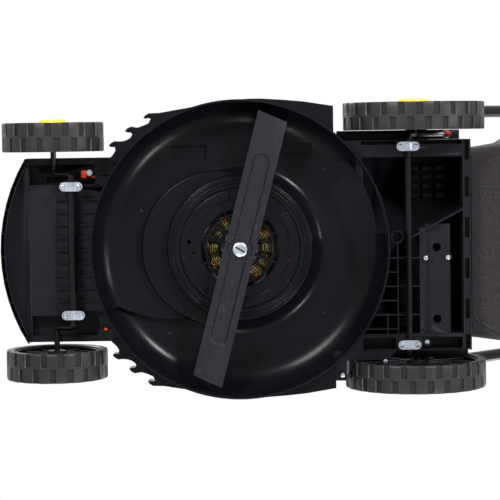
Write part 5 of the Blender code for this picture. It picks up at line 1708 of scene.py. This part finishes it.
@dataclass
class GrassBag:
    """The cloth bag: a sagging shell with folds, a crowned top, seams with stitches, and a closed edge at the mouth.
    """

    front: float = 0.3986
    cloth: float = 0.002
    sizes: tuple[tuple[float, float, float, float], ...] = (
        (0.3986, 0.164, 0.118, 0.246), (0.425, 0.168, 0.115, 0.266), (0.455, 0.174, 0.112, 0.286),
        (0.505, 0.204, 0.108, 0.330), (0.560, 0.207, 0.107, 0.356), (0.620, 0.209, 0.106, 0.378),
        (0.690, 0.209, 0.108, 0.389), (0.760, 0.207, 0.110, 0.396), (0.830, 0.196, 0.126, 0.388),
        (0.862, 0.160, 0.160, 0.352))
    rings: int = 96
    around: int = 168
    seams: tuple[int, int] = (152, 108)
    seam_steps: int = 59

    def size_at(self, y: float) -> Triple:
        """The section's half width, low and high edge at a place along the bag.

        Args:
            y: The place.

        Returns:
            Half width, low and high.
        """
        for first, last in zip(self.sizes, self.sizes[1:]):
            if y <= last[0]:
                share = (y - first[0]) / (last[0] - first[0])
                return tuple(a + (b - a) * share for a, b in zip(first[1:], last[1:]))
        return self.sizes[-1][1:]

    def section(self, y: float, inset: float) -> list[Vector]:
        """One ring of the bag with its corners rounded and its sides drawn in and sagging.

        Args:
            y: The place along the bag.
            inset: How far it lies inside the outer face.

        Returns:
            The ring's points.
        """
        half, low, high = self.size_at(y)
        half, low, high = half - inset, low + inset, high - inset
        corner = min(0.030, (high - low) / 3)
        along = (y - self.sizes[0][0]) / (self.sizes[-1][0] - self.sizes[0][0])
        free = sin(pi * min(1.0, max(0.0, along))) ** 0.6
        height, width = high - low - 2 * corner, 2 * (half - corner)
        arc = pi / 2 * corner
        total = 2 * (height + width) + 4 * arc
        points = []
        for k in range(self.around):
            s = total * k / self.around
            sides = ((height, (half, low + corner), (0, 1)), (width, (half - corner, high), (-1, 0)),
                     (height, (-half, high - corner), (0, -1)), (width, (-half + corner, low), (1, 0)))
            for part, (length, start, way) in enumerate(sides):
                if s <= length:
                    share = s / length
                    pull = sin(pi * share)
                    x, z = start[0] + way[0] * s, start[1] + way[1] * s
                    if part in (0, 2):
                        sag = 0.0075 * sin(pi * min(1.0, share * 1.15)) * (1 - share * 0.6)
                        x += (1 if part == 0 else -1) * free * (-0.0080 * pull * share + sag * 0.35)
                    elif part == 3:
                        z -= free * 0.0062 * pull
                    else:
                        z += free * 0.0032 * pull
                    points.append(Vector((x, y, z)))
                    break
                s -= length
                if s <= arc:
                    base = part * pi / 2
                    centre = ((half - corner, high - corner), (-half + corner, high - corner),
                              (-half + corner, low + corner), (half - corner, low + corner))[part]
                    angle = base + s / corner
                    points.append(Vector((centre[0] + corner * cos(angle), y,
                                          centre[1] + corner * sin(angle))))
                    break
                s -= arc
        return points

    def fold(self, point: Vector) -> float:
        """Slack folds of the cloth.

        Args:
            point: A place on the bag.

        Returns:
            How far the cloth lies inwards there.
        """
        slack = sin(point.y * 46 + point.x * 17 + 1.3) * sin(point.z * 38 - point.y * 21)
        fine = sin(point.y * 118 - point.z * 61 + 0.7) * sin(point.x * 74 + point.z * 29 + 2.1)
        near = max(0.0, min(1.0, (point.y - self.front) / 0.060)) * max(0.0, min(1.0, (0.858 - point.y) / 0.05))
        return near * (0.0028 + 0.0022 * slack + 0.0009 * fine)

    def build(self) -> None:
        """Makes the bag."""
        start, end = self.sizes[0][0], self.sizes[-1][0]
        stations = [start + (end - start) * k / (self.rings - 1) for k in range(self.rings)]
        bm = bmesh.new()
        weave = bm.loops.layers.uv.new("weave")
        skins = []
        for inset in (self.cloth, 0.0):
            rings = []
            for y in stations:
                ring = self.section(y, inset)
                middle = sum(ring, Vector()) / len(ring)
                rings.append([bm.verts.new(p + (Vector((middle.x, p.y, middle.z)) - p).normalized() * self.fold(p))
                              for p in ring])
            skins.append(rings)
        count = self.around
        for rings, flip in zip(skins, (True, False)):
            for k, (now, after) in enumerate(zip(rings, rings[1:])):
                for s in range(count):
                    corners = (now[s], now[(s + 1) % count], after[(s + 1) % count], after[s])
                    maps = ((s, k), (s + 1, k), (s + 1, k + 1), (s, k + 1))
                    face = bm.faces.new(corners[::-1] if flip else corners)
                    for loop, (u, v) in zip(face.loops, maps[::-1] if flip else maps):
                        loop[weave].uv = (u / count, v / self.rings * 0.4)
        for s in range(count):
            bm.faces.new((skins[0][0][s], skins[0][0][(s + 1) % count], skins[1][0][(s + 1) % count], skins[1][0][s]))
        for rings, flip in zip(skins, (True, False)):
            last = rings[-1]
            crown = Vector((0, 0.0020 if flip else 0.0035, 0))
            centre = bm.verts.new(sum((v.co for v in last), Vector()) / count + crown)
            for s in range(count):
                corners = (last[s], last[(s + 1) % count], centre)
                bm.faces.new(corners[::-1] if flip else corners)
        settle("bag_cloth_shell", mesh_of(bm), Finish.CLOTH, Body.BAG, ["bag_cloth"], 60)
        self.build_seams()

    def build_seams(self) -> None:
        """Lays piped seams along the bottom panel's edges, with rows of stitches beside them."""
        piping, spots = [], []
        for index in self.seams:
            path = []
            for k in range(self.seam_steps + 1):
                y = self.front + 0.004 + (0.852 - self.front - 0.004) * k / self.seam_steps
                ring = self.section(y, 0.0)
                point = ring[index]
                middle = sum(ring, Vector()) / len(ring)
                inward = (Vector((middle.x, point.y, middle.z)) - point).normalized()
                path.append(point + inward * (self.fold(point) - 0.0002))
            piping.append(tube(path, 0.0014, 8))
            for first, last in zip(path, path[1:]):
                for share in (0.25, 0.75):
                    spot = first.lerp(last, share)
                    spots.append(spot + Vector((0.0048 if spot.x < 0 else -0.0048, 0, 0.0)))
        settle("bag_piping", joined(piping), Finish.GRIP, Body.BAG)
        stitch = tube([(0, -0.0017, 0.0004), (0, -0.0010, -0.0002), (0, 0.0010, -0.0002), (0, 0.0017, 0.0004)],
                      0.00035, 5)
        settle_spots("bag_stitches", stitch, spots, Finish.GRIP, Body.BAG)


def paint_packed() -> None:
    """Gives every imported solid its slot's finish, since some stay in view."""
    finishes = {finish.slot: finish for finish in Finish}
    slots = {entry["node"]: entry["material_slot"] for entry in frame["record"]["subparts"]}
    for name, node in frame["nodes"].items():
        material = painted(finishes[slots[name]])
        if not node.material_slots:
            node.data.materials.append(material)
        for place in node.material_slots:
            place.material = material
    LOG.info("painted %d packed solids", len(frame["nodes"]))


def main() -> None:
    """Dresses the mower and lights it."""
    paint_packed()
    for part in (CuttingBowl, Motor, BladeSet, RunningGear, Nose, LeverGaiter, RearFrame, MotorHood, Handle, GrassBag,
                 Studio):
        part().build()


if __name__ == "__main__":
    logging.basicConfig(level=logging.INFO, format="%(name)s: %(message)s")
    main()
